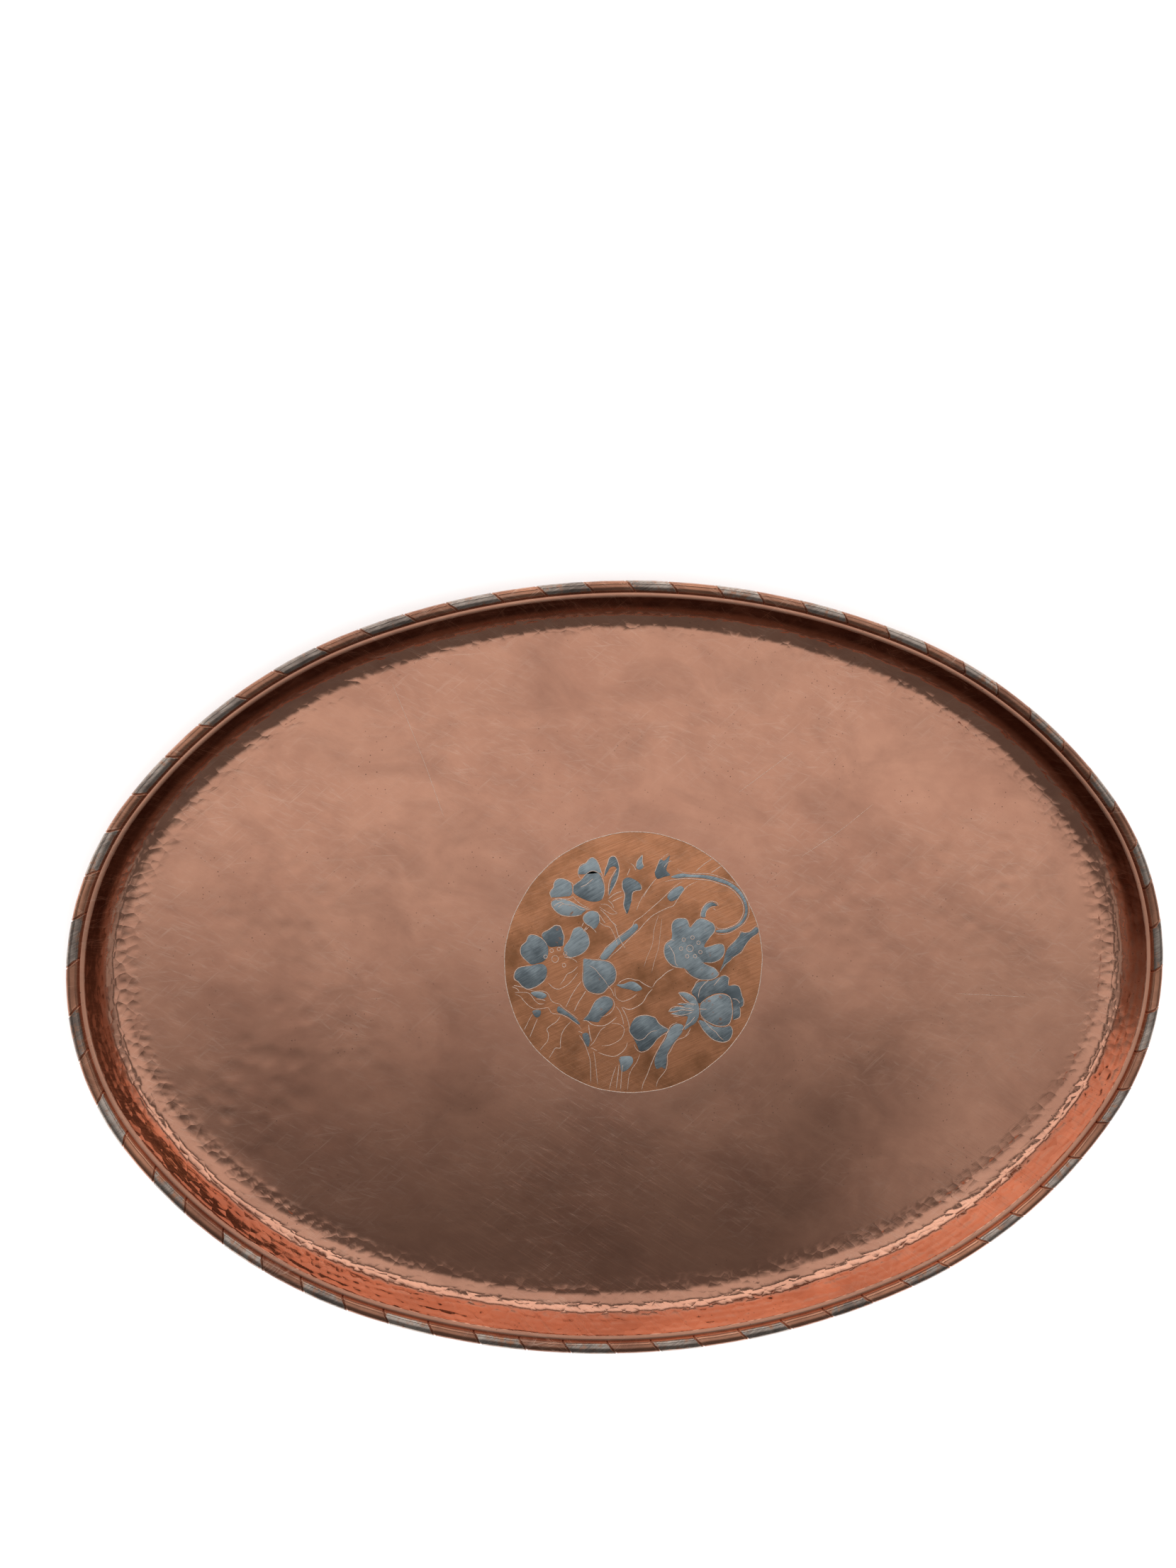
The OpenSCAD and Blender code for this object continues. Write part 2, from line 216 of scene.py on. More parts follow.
def slow_waves(x, y, seed, lengths, count):
    """A gentle unevenness: a sum of plane waves of random direction, length and phase."""
    rng = np.random.default_rng(seed)
    total = np.zeros_like(x)
    for _ in range(count):
        turn, phase = rng.uniform(0.0, 2.0 * math.pi, 2)
        length = rng.uniform(*lengths)
        total += length * np.sin(2.0 * math.pi * (x * math.cos(turn) + y * math.sin(turn)) / length + phase)
    return total / (count**0.5 * 100.0)


# ---------------------------------------------------------------------------------------------
# Material helpers
# ---------------------------------------------------------------------------------------------
class Finish:
    """A node material: each method adds one node and returns its output socket."""

    def __init__(self, name):
        self.material = bpy.data.materials.new(name)
        self.material.use_nodes = True
        self.tree = self.material.node_tree
        self.tree.nodes.clear()
        output = self.tree.nodes.new("ShaderNodeOutputMaterial")
        self.shader = self.tree.nodes.new("ShaderNodeBsdfPrincipled")
        self.tree.links.new(self.shader.outputs[0], output.inputs[0])
        self.place = self.tree.nodes.new("ShaderNodeTexCoord").outputs["Object"]

    def put(self, socket, value):
        """Join a node's output to the socket, or set the socket to a number or colour."""
        if isinstance(value, bpy.types.NodeSocket):
            self.tree.links.new(value, socket)
        elif socket.type == "RGBA" and len(value) == 3:
            socket.default_value = (*value, 1.0)
        else:
            socket.default_value = value

    def set(self, **inputs):
        """Set the shader's own sockets by name, with _ for a space."""
        for name, value in inputs.items():
            self.put(self.shader.inputs[name.replace("_", " ")], value)

    def turned(self, angle=0.0, size=(1.0, 1.0, 1.0), shift=(0.0, 0.0, 0.0)):
        """Coordinates for a pattern moved by shift, turned by an angle in degrees, and then drawn out
        so that one step of the pattern is this size in metres along each of its own axes."""
        node = self.tree.nodes.new("ShaderNodeMapping")
        node.vector_type = "TEXTURE"
        self.put(node.inputs["Vector"], self.place)
        node.inputs["Location"].default_value = shift
        node.inputs["Rotation"].default_value = (0.0, 0.0, math.radians(angle))
        node.inputs["Scale"].default_value = size
        return node.outputs[0]

    def noise(self, scale, detail=3.0, roughness=0.5, vector=None, distortion=0.0):
        """Cloudy noise, about this many clouds to a metre."""
        node = self.tree.nodes.new("ShaderNodeTexNoise")
        self.put(node.inputs["Vector"], vector or self.place)
        node.inputs["Scale"].default_value = scale
        node.inputs["Detail"].default_value = detail
        node.inputs["Roughness"].default_value = roughness
        node.inputs["Distortion"].default_value = distortion
        return node.outputs[0]

    def spots(self, scale):
        """The distance to the nearest of scattered points, about this many to a metre."""
        node = self.tree.nodes.new("ShaderNodeTexVoronoi")
        self.put(node.inputs["Vector"], self.place)
        node.inputs["Scale"].default_value = scale
        return node.outputs["Distance"]

    def math(self, operation, first, second=0.0, clamp=False):
        """One sum of two values."""
        node = self.tree.nodes.new("ShaderNodeMath")
        node.operation = operation
        node.use_clamp = clamp
        self.put(node.inputs[0], first)
        self.put(node.inputs[1], second)
        return node.outputs[0]

    def times(self, first, second, clamp=False):
        """The product of two values."""
        return self.math("MULTIPLY", first, second, clamp)

    def plus(self, first, second, clamp=False):
        """The total of two values."""
        return self.math("ADD", first, second, clamp)

    def span(self, value, low, high, to_low=0.0, to_high=1.0):
        """The value's place between low and high, laid out from to_low to to_high."""
        node = self.tree.nodes.new("ShaderNodeMapRange")
        self.put(node.inputs["Value"], value)
        node.inputs["From Min"].default_value = low
        node.inputs["From Max"].default_value = high
        node.inputs["To Min"].default_value = to_low
        node.inputs["To Max"].default_value = to_high
        return node.outputs[0]

    def mix(self, share, first, second):
        """A share of the second colour over the first."""
        node = self.tree.nodes.new("ShaderNodeMix")
        node.data_type = "RGBA"
        self.put(node.inputs[0], share)
        self.put(node.inputs[6], first)
        self.put(node.inputs[7], second)
        return node.outputs[2]

    def distance(self, point_mm):
        """The level distance in metres from a point given in mm."""
        node = self.tree.nodes.new("ShaderNodeVectorMath")
        node.operation = "DISTANCE"
        flat = self.tree.nodes.new("ShaderNodeVectorMath")
        flat.operation = "MULTIPLY"
        self.put(flat.inputs[0], self.place)
        flat.inputs[1].default_value = (1.0, 1.0, 0.0)
        self.put(node.inputs[0], flat.outputs[0])
        node.inputs[1].default_value = (point_mm[0] * MM, point_mm[1] * MM, 0.0)
        return node.outputs["Value"]

    def value_of(self, name):
        """A number that the piece carries at each point."""
        node = self.tree.nodes.new("ShaderNodeAttribute")
        node.attribute_name = name
        return node.outputs["Fac"]

    def bump(self, height, strength, depth, normal=None):
        """Small relief of this depth in metres, on top of any relief given."""
        node = self.tree.nodes.new("ShaderNodeBump")
        node.inputs["Strength"].default_value = strength
        node.inputs["Distance"].default_value = depth
        self.put(node.inputs["Height"], height)
        if normal is not None:
            self.put(node.inputs["Normal"], normal)
        return node.outputs[0]

    def hairlines(self, angle, length, width, share, seed):
        """Fine straight scratches: a noise drawn out along one direction, of which only the
        narrow band about its middle value counts, in the few places a wider noise lets through."""
        drawn = self.turned(angle, (length, width, 1.0), (seed, seed * 0.37, 0.0))
        field = self.noise(1.0, 1.0, 0.4, drawn)
        apart = self.math("ABSOLUTE", self.math("SUBTRACT", field, 0.5))
        wide = self.turned(angle, (length * 0.8, width * 5.0, 1.0), (seed * 0.61, seed, 0.0))
        let_through = self.span(self.noise(1.0, 1.0, 0.4, wide), 0.56, 0.66)
        return self.math("MULTIPLY", self.span(apart, share, 0.0), let_through)


def patina_parts(finish):
    """The unevenness shared by the copper pieces: cloudy tone, fine mottling, hairlines, pits."""
    cloud = finish.noise(7.0, 4.0, 0.6)
    mottle = finish.noise(85.0, 4.0, 0.6)
    lines = finish.hairlines(41.0, 0.030, 0.0005, 0.045, 3.1)
    for angle, length, seed in ((-27.0, 0.016, 7.7), (-19.0, 0.024, 11.3), (-36.0, 0.014, 17.9),
        (4.0, 0.028, 23.5)):
        lines = finish.math("MAXIMUM", lines, finish.hairlines(angle, length, 0.0005, 0.045, seed))
    thin = finish.noise(14.0, 2.0, 0.5, finish.turned(0.0, (1.0, 1.0, 1.0), (4.0, 2.0, 0.0)))
    lines = finish.times(lines, finish.span(thin, 0.36, 0.56))
    pits = finish.span(finish.spots(330.0), 0.14, 0.04)
    pits = finish.times(pits, finish.span(finish.noise(30.0, 2.0), 0.5, 0.62))
    return cloud, mottle, lines, pits


def copper_finish(name, clean, dull, smooth, rough):
    """Old polished copper: tone and gloss drift over the sheet, hairlines are brighter and pits
    darker than the ground, and all of them stand in the bump."""
    finish = Finish(name)
    cloud, mottle, lines, pits = patina_parts(finish)
    tone = finish.plus(finish.times(cloud, 0.7), finish.times(mottle, 0.3))
    colour = finish.mix(finish.span(tone, 0.38, 0.62), dull, clean)
    colour = finish.mix(finish.times(lines, 0.45), colour, (0.93, 0.66, 0.52))
    colour = finish.mix(finish.times(pits, 0.8), colour, (0.05, 0.025, 0.018))
    gloss = finish.span(tone, 0.38, 0.62, rough, smooth)
    gloss = finish.plus(gloss, finish.times(lines, 0.22))
    gloss = finish.plus(gloss, finish.times(pits, 0.3), True)
    height = finish.math("SUBTRACT", finish.times(mottle, 0.5), lines)
    height = finish.math("SUBTRACT", height, pits)
    finish.set(Base_Color=colour, Metallic=1.0, Roughness=gloss, Normal=finish.bump(height, 0.3, 0.00003))
    return finish


def copper_floor_finish():
    """The sheet's finish: polished copper, and inside the ring a warmer, duller ground brushed
    along one direction, on which the tin and the drawing lie. Up the wall, most on the far half
    and the ends, a dark mix of tarnishing and painted shade darkens it."""
    finish = Finish("hammered copper")
    cloud, mottle, lines, pits = patina_parts(finish)
    tone = finish.plus(finish.times(cloud, 0.7), finish.times(mottle, 0.3))
    colour = finish.mix(finish.span(tone, 0.38, 0.62), (0.60, 0.29, 0.195), (0.72, 0.365, 0.245))
    smoke = finish.span(finish.noise(27.0, 5.0, 0.62, finish.turned(-20.0, (1.6, 1.0, 1.0)), 0.7), 0.44, 0.70)
    colour = finish.mix(finish.times(smoke, 0.42), colour, (0.34, 0.165, 0.115))
    ring = finish.span(finish.distance(MEDALLION), (RING_R + 0.15) * MM, (RING_R - 0.35) * MM)
    brushed = finish.noise(1.0, 3.0, 0.6, finish.turned(22.0, (0.016, 0.0006, 0.02)))
    ground = finish.mix(finish.span(brushed, 0.3, 0.7), (0.49, 0.205, 0.10), (0.76, 0.335, 0.175))
    stain = finish.span(finish.noise(34.0, 5.0, 0.62), 0.44, 0.66)
    ground = finish.mix(stain, ground, (0.33, 0.14, 0.065))
    colour = finish.mix(ring, colour, ground)
    # Painted shade with tarnishing: a dark mix up the wall, strongest on the far half and the ends, where it
    # stands in for the dark reflection there.
    painted_shade_and_tarnish = finish.plus(finish.value_of("tarnish_and_painted_shade"), finish.span(mottle, 0.3, 0.7, -0.18, 0.18))
    painted_shade_and_tarnish = finish.times(finish.times(painted_shade_and_tarnish, finish.value_of("tarnish_and_painted_shade")), 0.92, True)
    colour = finish.mix(painted_shade_and_tarnish, colour, (0.14, 0.045, 0.025))
    lines = finish.times(lines, finish.span(ring, 0.0, 1.0, 1.0, 0.4))
    colour = finish.mix(finish.times(lines, 0.25), colour, (0.93, 0.66, 0.52))
    colour = finish.mix(finish.times(pits, 0.8), colour, (0.05, 0.025, 0.018))
    haze = finish.noise(3.2, 3.0, 0.5, finish.turned(0.0, (1.0, 1.0, 1.0), (0.3, 0.9, 0.0)))
    rubbed = finish.noise(1.0, 2.0, 0.6, finish.turned(-34.0, (0.03, 0.0006, 0.03)))
    share = finish.plus(finish.span(haze, 0.42, 0.60, 0.0, 0.45), finish.times(cloud, 0.12))
    rubbed = finish.times(finish.span(rubbed, 0.52, 0.62), share)
    gloss = finish.plus(finish.span(tone, 0.38, 0.62, 0.045, 0.02), finish.times(rubbed, 0.34))
    gloss = finish.plus(gloss, finish.times(ring, 0.16))
    gloss = finish.plus(gloss, finish.times(finish.value_of("hammered"), 0.07))
    gloss = finish.plus(gloss, finish.times(painted_shade_and_tarnish, 0.12))
    gloss = finish.plus(gloss, finish.times(lines, 0.13))
    gloss = finish.plus(gloss, finish.times(pits, 0.3), True)
    height = finish.math("SUBTRACT", finish.times(mottle, 0.6), finish.times(lines, 0.5))
    height = finish.math("SUBTRACT", height, pits)
    height = finish.plus(height, finish.times(finish.times(brushed, ring), 0.5))
    bowls = finish.math("POWER", finish.spots(175.0), 2.0)
    bowls = finish.times(bowls, finish.value_of("hammered"))
    surface = finish.bump(bowls, 0.6, 0.0007, finish.bump(height, 0.2, 0.00002))
    finish.set(Base_Color=colour, Metallic=1.0, Roughness=gloss, Normal=surface)
    return finish


def tin_finish(name, bare, light, dark, worn_from, worn_to, gloss):
    """Hot-wiped tin: blue-grey, cloudy, with drawn wipe marks, and rubbed through to the copper
    where a ragged noise passes the wear limit."""
    finish = Finish(name)
    cloud = finish.noise(60.0, 4.0, 0.6)
    wipe = finish.noise(1.0, 3.0, 0.6, finish.turned(31.0, (0.006, 0.0006, 0.006)))
    tone = finish.plus(finish.times(cloud, 0.6), finish.times(wipe, 0.4))
    tone = finish.plus(tone, finish.times(finish.value_of("tone"), 0.08))
    metal = finish.mix(finish.span(tone, 0.40, 0.64), dark, light)
    ragged = finish.noise(210.0, 5.0, 0.68, finish.turned(12.0, (1.0, 1.0, 2.5)))
    ragged = finish.plus(ragged, finish.value_of("wear"))
    worn = finish.span(ragged, worn_from, worn_to)
    colour = finish.mix(worn, metal, bare)
    fine = finish.noise(900.0, 3.0, 0.6)
    rough = finish.span(fine, 0.3, 0.7, gloss - 0.05, gloss + 0.08)
    height = finish.plus(finish.times(fine, 0.2), finish.times(cloud, 0.5))
    height = finish.plus(height, finish.times(wipe, 0.5))
    height = finish.math("SUBTRACT", height, finish.times(worn, 0.8))
    finish.set(Base_Color=colour, Metallic=1.0, Roughness=rough, Normal=finish.bump(height, 0.25, 0.00008))
    return finish


def iron_finish():
    """The wire: dark drawn iron with rust blooms."""
    finish = Finish("drawn iron")
    bloom = finish.noise(160.0, 4.0, 0.6)
    colour = finish.mix(finish.span(bloom, 0.45, 0.65), (0.10, 0.095, 0.09), (0.16, 0.07, 0.035))
    finish.set(Base_Color=colour, Metallic=1.0, Roughness=finish.span(bloom, 0.3, 0.7, 0.35, 0.7))
    finish.set(Normal=finish.bump(bloom, 0.3, 0.0002))
    return finish


def engraving_finish():
    """The cut lines: fresh copper that the graver laid bare, with small nicks along them."""
    finish = Finish("cut copper")
    nicks = finish.noise(700.0, 3.0, 0.6)
    colour = finish.mix(finish.span(nicks, 0.35, 0.65), (0.80, 0.52, 0.38), (0.98, 0.80, 0.70))
    finish.set(Base_Color=colour, Metallic=1.0, Roughness=finish.span(nicks, 0.3, 0.7, 0.3, 0.55))
    finish.set(Normal=finish.bump(nicks, 0.4, 0.0001))
    return finish


# ---------------------------------------------------------------------------------------------
# The sheet: floor, hammered cove, wall and lip, and the plain outside, one closed surface.
# ---------------------------------------------------------------------------------------------
CELLS_X, CELLS_Y = 280, 194


def section_point(run):
    """Inset and height of the inner surface at a distance from the floor's edge, up the cove's arc
    and then up the straight wall, and the direction out of the metal there."""
    slope = math.radians(WALL_SLOPE)
    turn = np.clip(run / COVE_R, 0.0, slope)
    beyond = run - COVE_R * turn
    inset = FOOT_IN - COVE_R * np.sin(turn) - beyond * np.cos(turn)
    height = COVE_Z - COVE_R * np.cos(turn) + beyond * np.sin(turn)
    return inset, height, np.sin(turn), np.cos(turn)


WALL_FOOT_IN, WALL_FOOT_Z, _, _ = section_point(np.array(COVE_R * math.radians(WALL_SLOPE)))
WALL_RUN = COVE_R * math.radians(WALL_SLOPE) + math.hypot(WALL_FOOT_IN - CREASE_IN, CREASE_Z - WALL_FOOT_Z)


# Where the floor was struck harder: middle and reach in mm.
STRUCK = np.array([
    (158, 112, 46), (178, 70, 40), (214, 22, 40), (-130, 130, 38), (-104, 62, 32), (-182, -42, 36),
    (-8, 128, 46),
    (-212, 90, 34), (-190, 35, 34), (116, 20, 26), (100, 150, 28), (62, 120, 32), (-60, -160, 20),
    (-225, -75, 26),
])


def floor_height(x, y):
    """Height of the floor's hammering in mm: round marks, deep about the places that were struck
    harder and faint elsewhere, on slow waves, and calm inside the medallion's ring."""
    marks = hammer_marks(x, y, 10.2, 11, 4.4, 7.4)
    strong = np.zeros_like(x)
    for middle_x, middle_y, reach in STRUCK:
        strong += np.exp(-((x - middle_x) ** 2 + (y - middle_y) ** 2) / reach**2)
    waves = slow_waves(x, y, 23, (45.0, 130.0), 14)
    calm = smoothstep(RING_R + 1.0, RING_R + 20.0, np.hypot(x - MEDALLION[0], y - MEDALLION[1]))
    return calm * ((0.030 + 0.15 * np.minimum(strong, 1.0)) * marks + 0.16 * waves)


def facet_height(along, run):
    """Height of the cove's planishing facets in mm, fading out on the floor and up the wall."""
    share = smoothstep(-8.0, -2.0, run) * (1.0 - 0.55 * smoothstep(14.0, 23.0, run))
    drift = 1.3 * np.sin(along / 47.0) + 0.9 * np.sin(along / 17.3 + 1.0)
    return share * (planished(along, run + 40.0 + drift, 5.9, 5.0, 31) - 0.15)


def wall_folds(along, run):
    """Height in mm of the long shallow folds that run round the wall, one above the other."""
    wander = 1.7 * np.sin(along / 26.0) + 0.9 * np.sin(along / 61.0 + 0.5)
    return 0.04 * smoothstep(12.0, 16.0, run) * np.sin(2.0 * math.pi * run / 4.1 + wander)


def wall_tarnish_and_painted_shade(heading, run):
    """Dark tarnishing and painted shade from 0 to 1: it deepens up the wall, most of it on the far half and
    the ends, where the darkening stands in for the reflection of the dark near side.
    """
    return smoothstep(11.0, 20.0, run) * (0.12 + 0.88 * smoothstep(-0.55, 0.25, np.sin(heading)))


def build_sheet(finish):
    """The floor is a square grid pressed into a disc (x = u * root(1 - v*v / 2), and the same with
    u and v changed over), then stretched to the oval. Its border carries on as rings up the cove,
    the wall and over the lip into the bead, and back down the outside to a point under the middle."""
    u, v = np.meshgrid(np.linspace(-1, 1, CELLS_X + 1), np.linspace(-1, 1, CELLS_Y + 1))
    disc_x, disc_y = u * np.sqrt(1 - v * v / 2), v * np.sqrt(1 - u * u / 2)
    share = np.hypot(disc_x, disc_y)
    wide, deep = 300.0 - FOOT_IN, 209.0 - FOOT_IN
    heading = np.arctan2(disc_y * wide, disc_x * deep)
    rim_point = edge(heading, FOOT_IN)
    flat = rim_point * share[..., None]
    outward = np.stack([np.cos(heading), np.sin(heading)], axis=-1)
    run = -(1.0 - share) * np.sum(rim_point * outward, axis=-1)
    near_foot = smoothstep(-12.0, -1.0, run)
    lift = (1.0 - near_foot) * floor_height(flat[..., 0], flat[..., 1])
    lift = lift + facet_height(distance_at(heading), run)
    floor = np.concatenate([flat, (SHEET_T + lift)[..., None]], axis=-1).reshape(-1, 3)

    number = np.arange(floor.shape[0]).reshape(CELLS_Y + 1, CELLS_X + 1)
    border = np.concatenate([number[0, :-1], number[:-1, -1], number[-1, :0:-1], number[:0:-1, 0]])
    around = heading.reshape(-1)[border]
    count = len(border)
    along = distance_at(around)

    def ring(inset, height, lift_in=0.0, lift_up=0.0):
        flat_ring = edge(around, inset + lift_in)
        return np.concatenate([flat_ring, np.broadcast_to(height + lift_up, (count,))[:, None]], axis=-1)

    rings = []
    # Tarnishing mixed with painted shade: none on the floor, and up the wall darker on the far half and the
    # ends.
    hammered, tarnish_and_painted_shade = [smoothstep(-8.0, 0.0, run).ravel()], [np.zeros(run.size)]
    for distance in np.linspace(1.0, WALL_RUN - 0.6, 26):
        inset, height, inward, upward = section_point(np.array(distance))
        lift = facet_height(along, np.full(count, distance)) + wall_folds(along, distance)
        rings.append(ring(inset, height, inward * lift, upward * lift))
        hammered.append(np.full(count, 1.0 - 0.5 * smoothstep(12.0, 18.0, distance)))
        tarnish_and_painted_shade.append(wall_tarnish_and_painted_shade(around, distance))
    for inset, height in (
        (CREASE_IN + 0.12, CREASE_Z - 0.32), (CREASE_IN - 0.05, CREASE_Z - 0.06),
        (CREASE_IN - 0.35, CREASE_Z + 0.08),
        (7.6, 22.42), (6.7, 22.66), (6.0, 22.5), (5.5, 22.0),
        (5.6, 21.2), (6.4, 20.93), (7.4, 20.75),
    ):
        rings.append(ring(inset, height))
    slope, outer_r = math.radians(WALL_SLOPE), COVE_R + SHEET_T
    for beyond in (12.2, 6.0):
        rings.append(ring(
            FOOT_IN - outer_r * math.sin(slope) - beyond * math.cos(slope),
            COVE_Z - outer_r * math.cos(slope) + beyond * math.sin(slope),
        ))
    for turn in np.linspace(slope, 0.0, 6):
        rings.append(ring(FOOT_IN - outer_r * math.sin(turn), COVE_Z - outer_r * math.cos(turn)))
    for share_left in (0.8, 0.45, 0.15):
        under = edge(around, FOOT_IN) * share_left
        rise = 0.12 + 0.1 * slow_waves(under[:, 0], under[:, 1], 41, (90.0, 160.0), 6)
        rings.append(np.concatenate([under, np.clip(rise, 0.0, 0.4)[:, None]], axis=-1))
    points = np.concatenate([floor, *rings, [[0.0, 0.0, 0.1]]])
    faces = grid_faces(CELLS_Y + 1, CELLS_X + 1)
    first = len(floor)
    index = np.concatenate([border[None, :],
        first + np.arange(len(rings) * count).reshape(len(rings), count)])
    after = np.roll(index, -1, axis=1)
    sides = np.stack([index[:-1], index[1:], after[1:], after[:-1]], axis=-1).reshape(-1, 4)
    last, peak = index[-1], len(points) - 1
    cap = np.stack([last, np.full(count, peak), np.roll(last, -1)], axis=-1)
    hammered, tarnish_and_painted_shade = np.concatenate(hammered), np.concatenate(tarnish_and_painted_shade)
    return make_piece(
        "sheet", points, faces.tolist() + sides.tolist() + cap.tolist(), finish, ["tray_sheet"],
        {
            "hammered": np.pad(hammered, (0, len(points) - len(hammered))),
            # Past the wall, the lip, the outside and the underside carry a fixed 0.35 of the tarnishing and
            # painted shade.
            "tarnish_and_painted_shade": np.pad(tarnish_and_painted_shade, (0, len(points) - len(tarnish_and_painted_shade)), constant_values=0.35),
        },
    )


# ---------------------------------------------------------------------------------------------
# The rolled bead with its chased grooves, and the tin on every second segment.
# ---------------------------------------------------------------------------------------------
def groove_places():
    """Distance along the edge of each groove, evenly spread with a hand's unevenness."""
    pitch = PERIMETER / SEGMENTS
    rng = np.random.default_rng(66)
    return TOP_MIDDLE - FIRST_GROOVE + np.arange(SEGMENTS) * pitch + rng.uniform(-1.1, 1.1, SEGMENTS)


GROOVES = groove_places()
SLANT = 5.6
CUT_HALF = 0.55
SEAM = 245.0


def bead_points(along, angle, groove_gap, lift):
    """Points on the bead: a circle of its radius about the wire, whose stations lean clockwise
    towards the inner side as the grooves do. The radius falls into each groove and is a little
    fuller in the middle of a segment."""
    inset = BEAD_R * (1.0 - np.cos(angle))
    leaned = along - SLANT * inset / (2.0 * BEAD_R)
    cut = 0.46 * np.exp(-((groove_gap / 0.36) ** 2)) + 0.10 * np.exp(-groove_gap / 1.6)
    cut = cut - 0.13 * np.exp(-(((groove_gap - 0.75) / 0.28) ** 2))
    seam = 0.5 * np.exp(-(((np.degrees(angle) - SEAM) / 3.0) ** 2))
    dents = 0.035 * np.sin(leaned / 2.9 + 3.0 * angle) * np.sin(leaned / 7.7)
    radius = BEAD_R - 0.06 - cut - seam + dents + lift
    heading = heading_at(leaned)
    flat = edge(heading, BEAD_R - radius * np.cos(angle))
    return np.concatenate([flat, (BEAD_Z + radius * np.sin(angle))[..., None]], axis=-1)


def segment_stations(start, end):
    """Stations along a segment, close together beside its two grooves."""
    near = np.array([0.0, 0.14, 0.28, 0.44, 0.7, 1.2])
    middle = np.linspace(start + 2.4, end - 2.4, 11)
    return np.concatenate([start + near, middle, end - near[:0:-1]])


def build_bead(finish):
    """The bead as one closed tube: every segment's stations in turn, 20 points round each."""
    ends = np.append(GROOVES[1:], GROOVES[0] + PERIMETER)
    along = np.concatenate([segment_stations(a, b) for a, b in zip(GROOVES, ends)])
    gap = np.concatenate(
        [np.minimum(segment_stations(a, b) - a, b - segment_stations(a, b)) for a, b in zip(GROOVES, ends)]
    )
    angle = np.radians(np.sort(np.append(np.arange(0.0, 360.0, 16.0),
        [SEAM - 6.0, SEAM - 2.5, SEAM + 2.5, SEAM + 6.0])))
    s, q = np.meshgrid(along, angle, indexing="ij")
    points = bead_points(s, q, np.broadcast_to(gap[:, None], s.shape), 0.0).reshape(-1, 3)
    faces = grid_faces(len(along), len(angle), 0, True, True, True)
    return make_piece("rolled_bead", points, faces.tolist(), finish)


def build_rim_tin(finish):
    """The tin on each second segment: a thin closed skin on the bead, from low on its outside over
    the top to the lip, with an edge that wanders; its inner face is buried in the bead."""
    rng = np.random.default_rng(33)
    angle = np.radians(np.linspace(-50.0, 160.0, 15))
    ends = np.append(GROOVES[1:], GROOVES[0] + PERIMETER)
    points, faces, tones, wears, first = [], [], [], [], 0
    for start, end in zip(GROOVES[::2], ends[::2]):
        stations = segment_stations(start + CUT_HALF, end - CUT_HALF)
        s, q = np.meshgrid(stations, angle, indexing="ij")
        s = s + 0.35 * np.sin(5.0 * q + rng.uniform(0, 6)) * np.cos(math.pi * (s - start) / (end - start))
        gap = np.minimum(np.abs(s - start), np.abs(end - s))
        rim = np.zeros_like(s)
        rim[[0, -1], :] = 1.0
        rim[:, [0, -1]] = 1.0
        outer = bead_points(s, q, gap, 0.09 - 0.25 * rim)
        inner = bead_points(s, q, gap, -0.6)
        rows, columns = s.shape
        points += [outer.reshape(-1, 3), inner.reshape(-1, 3)]
        faces += [grid_faces(rows, columns, first, flip=True), grid_faces(rows, columns, first + s.size)]
        number = np.arange(s.size).reshape(rows, columns)
        loop = np.concatenate([number[0, :-1], number[:-1, -1], number[-1, :0:-1], number[:0:-1, 0]]) + first
        after = np.roll(loop, -1)
        faces.append(np.stack([loop, loop + s.size, after + s.size, after], axis=-1)[:, ::-1])
        tone = np.full(s.size, rng.uniform(-1.0, 1.0))
        middle = np.abs((q - math.radians(70.0)) / math.radians(100.0)) ** 2
        wear = (0.10 * middle - 0.05 + rng.uniform(-0.05, 0.06)).reshape(-1)
        tones += [tone, tone]
        wears += [wear, wear]
        first += 2 * s.size
    return make_piece(
        "rim_tin", np.concatenate(points), np.concatenate(faces).tolist(), finish,
        ["rim_tin_bands"],
        {"tone": np.concatenate(tones), "wear": np.concatenate(wears)},
    )


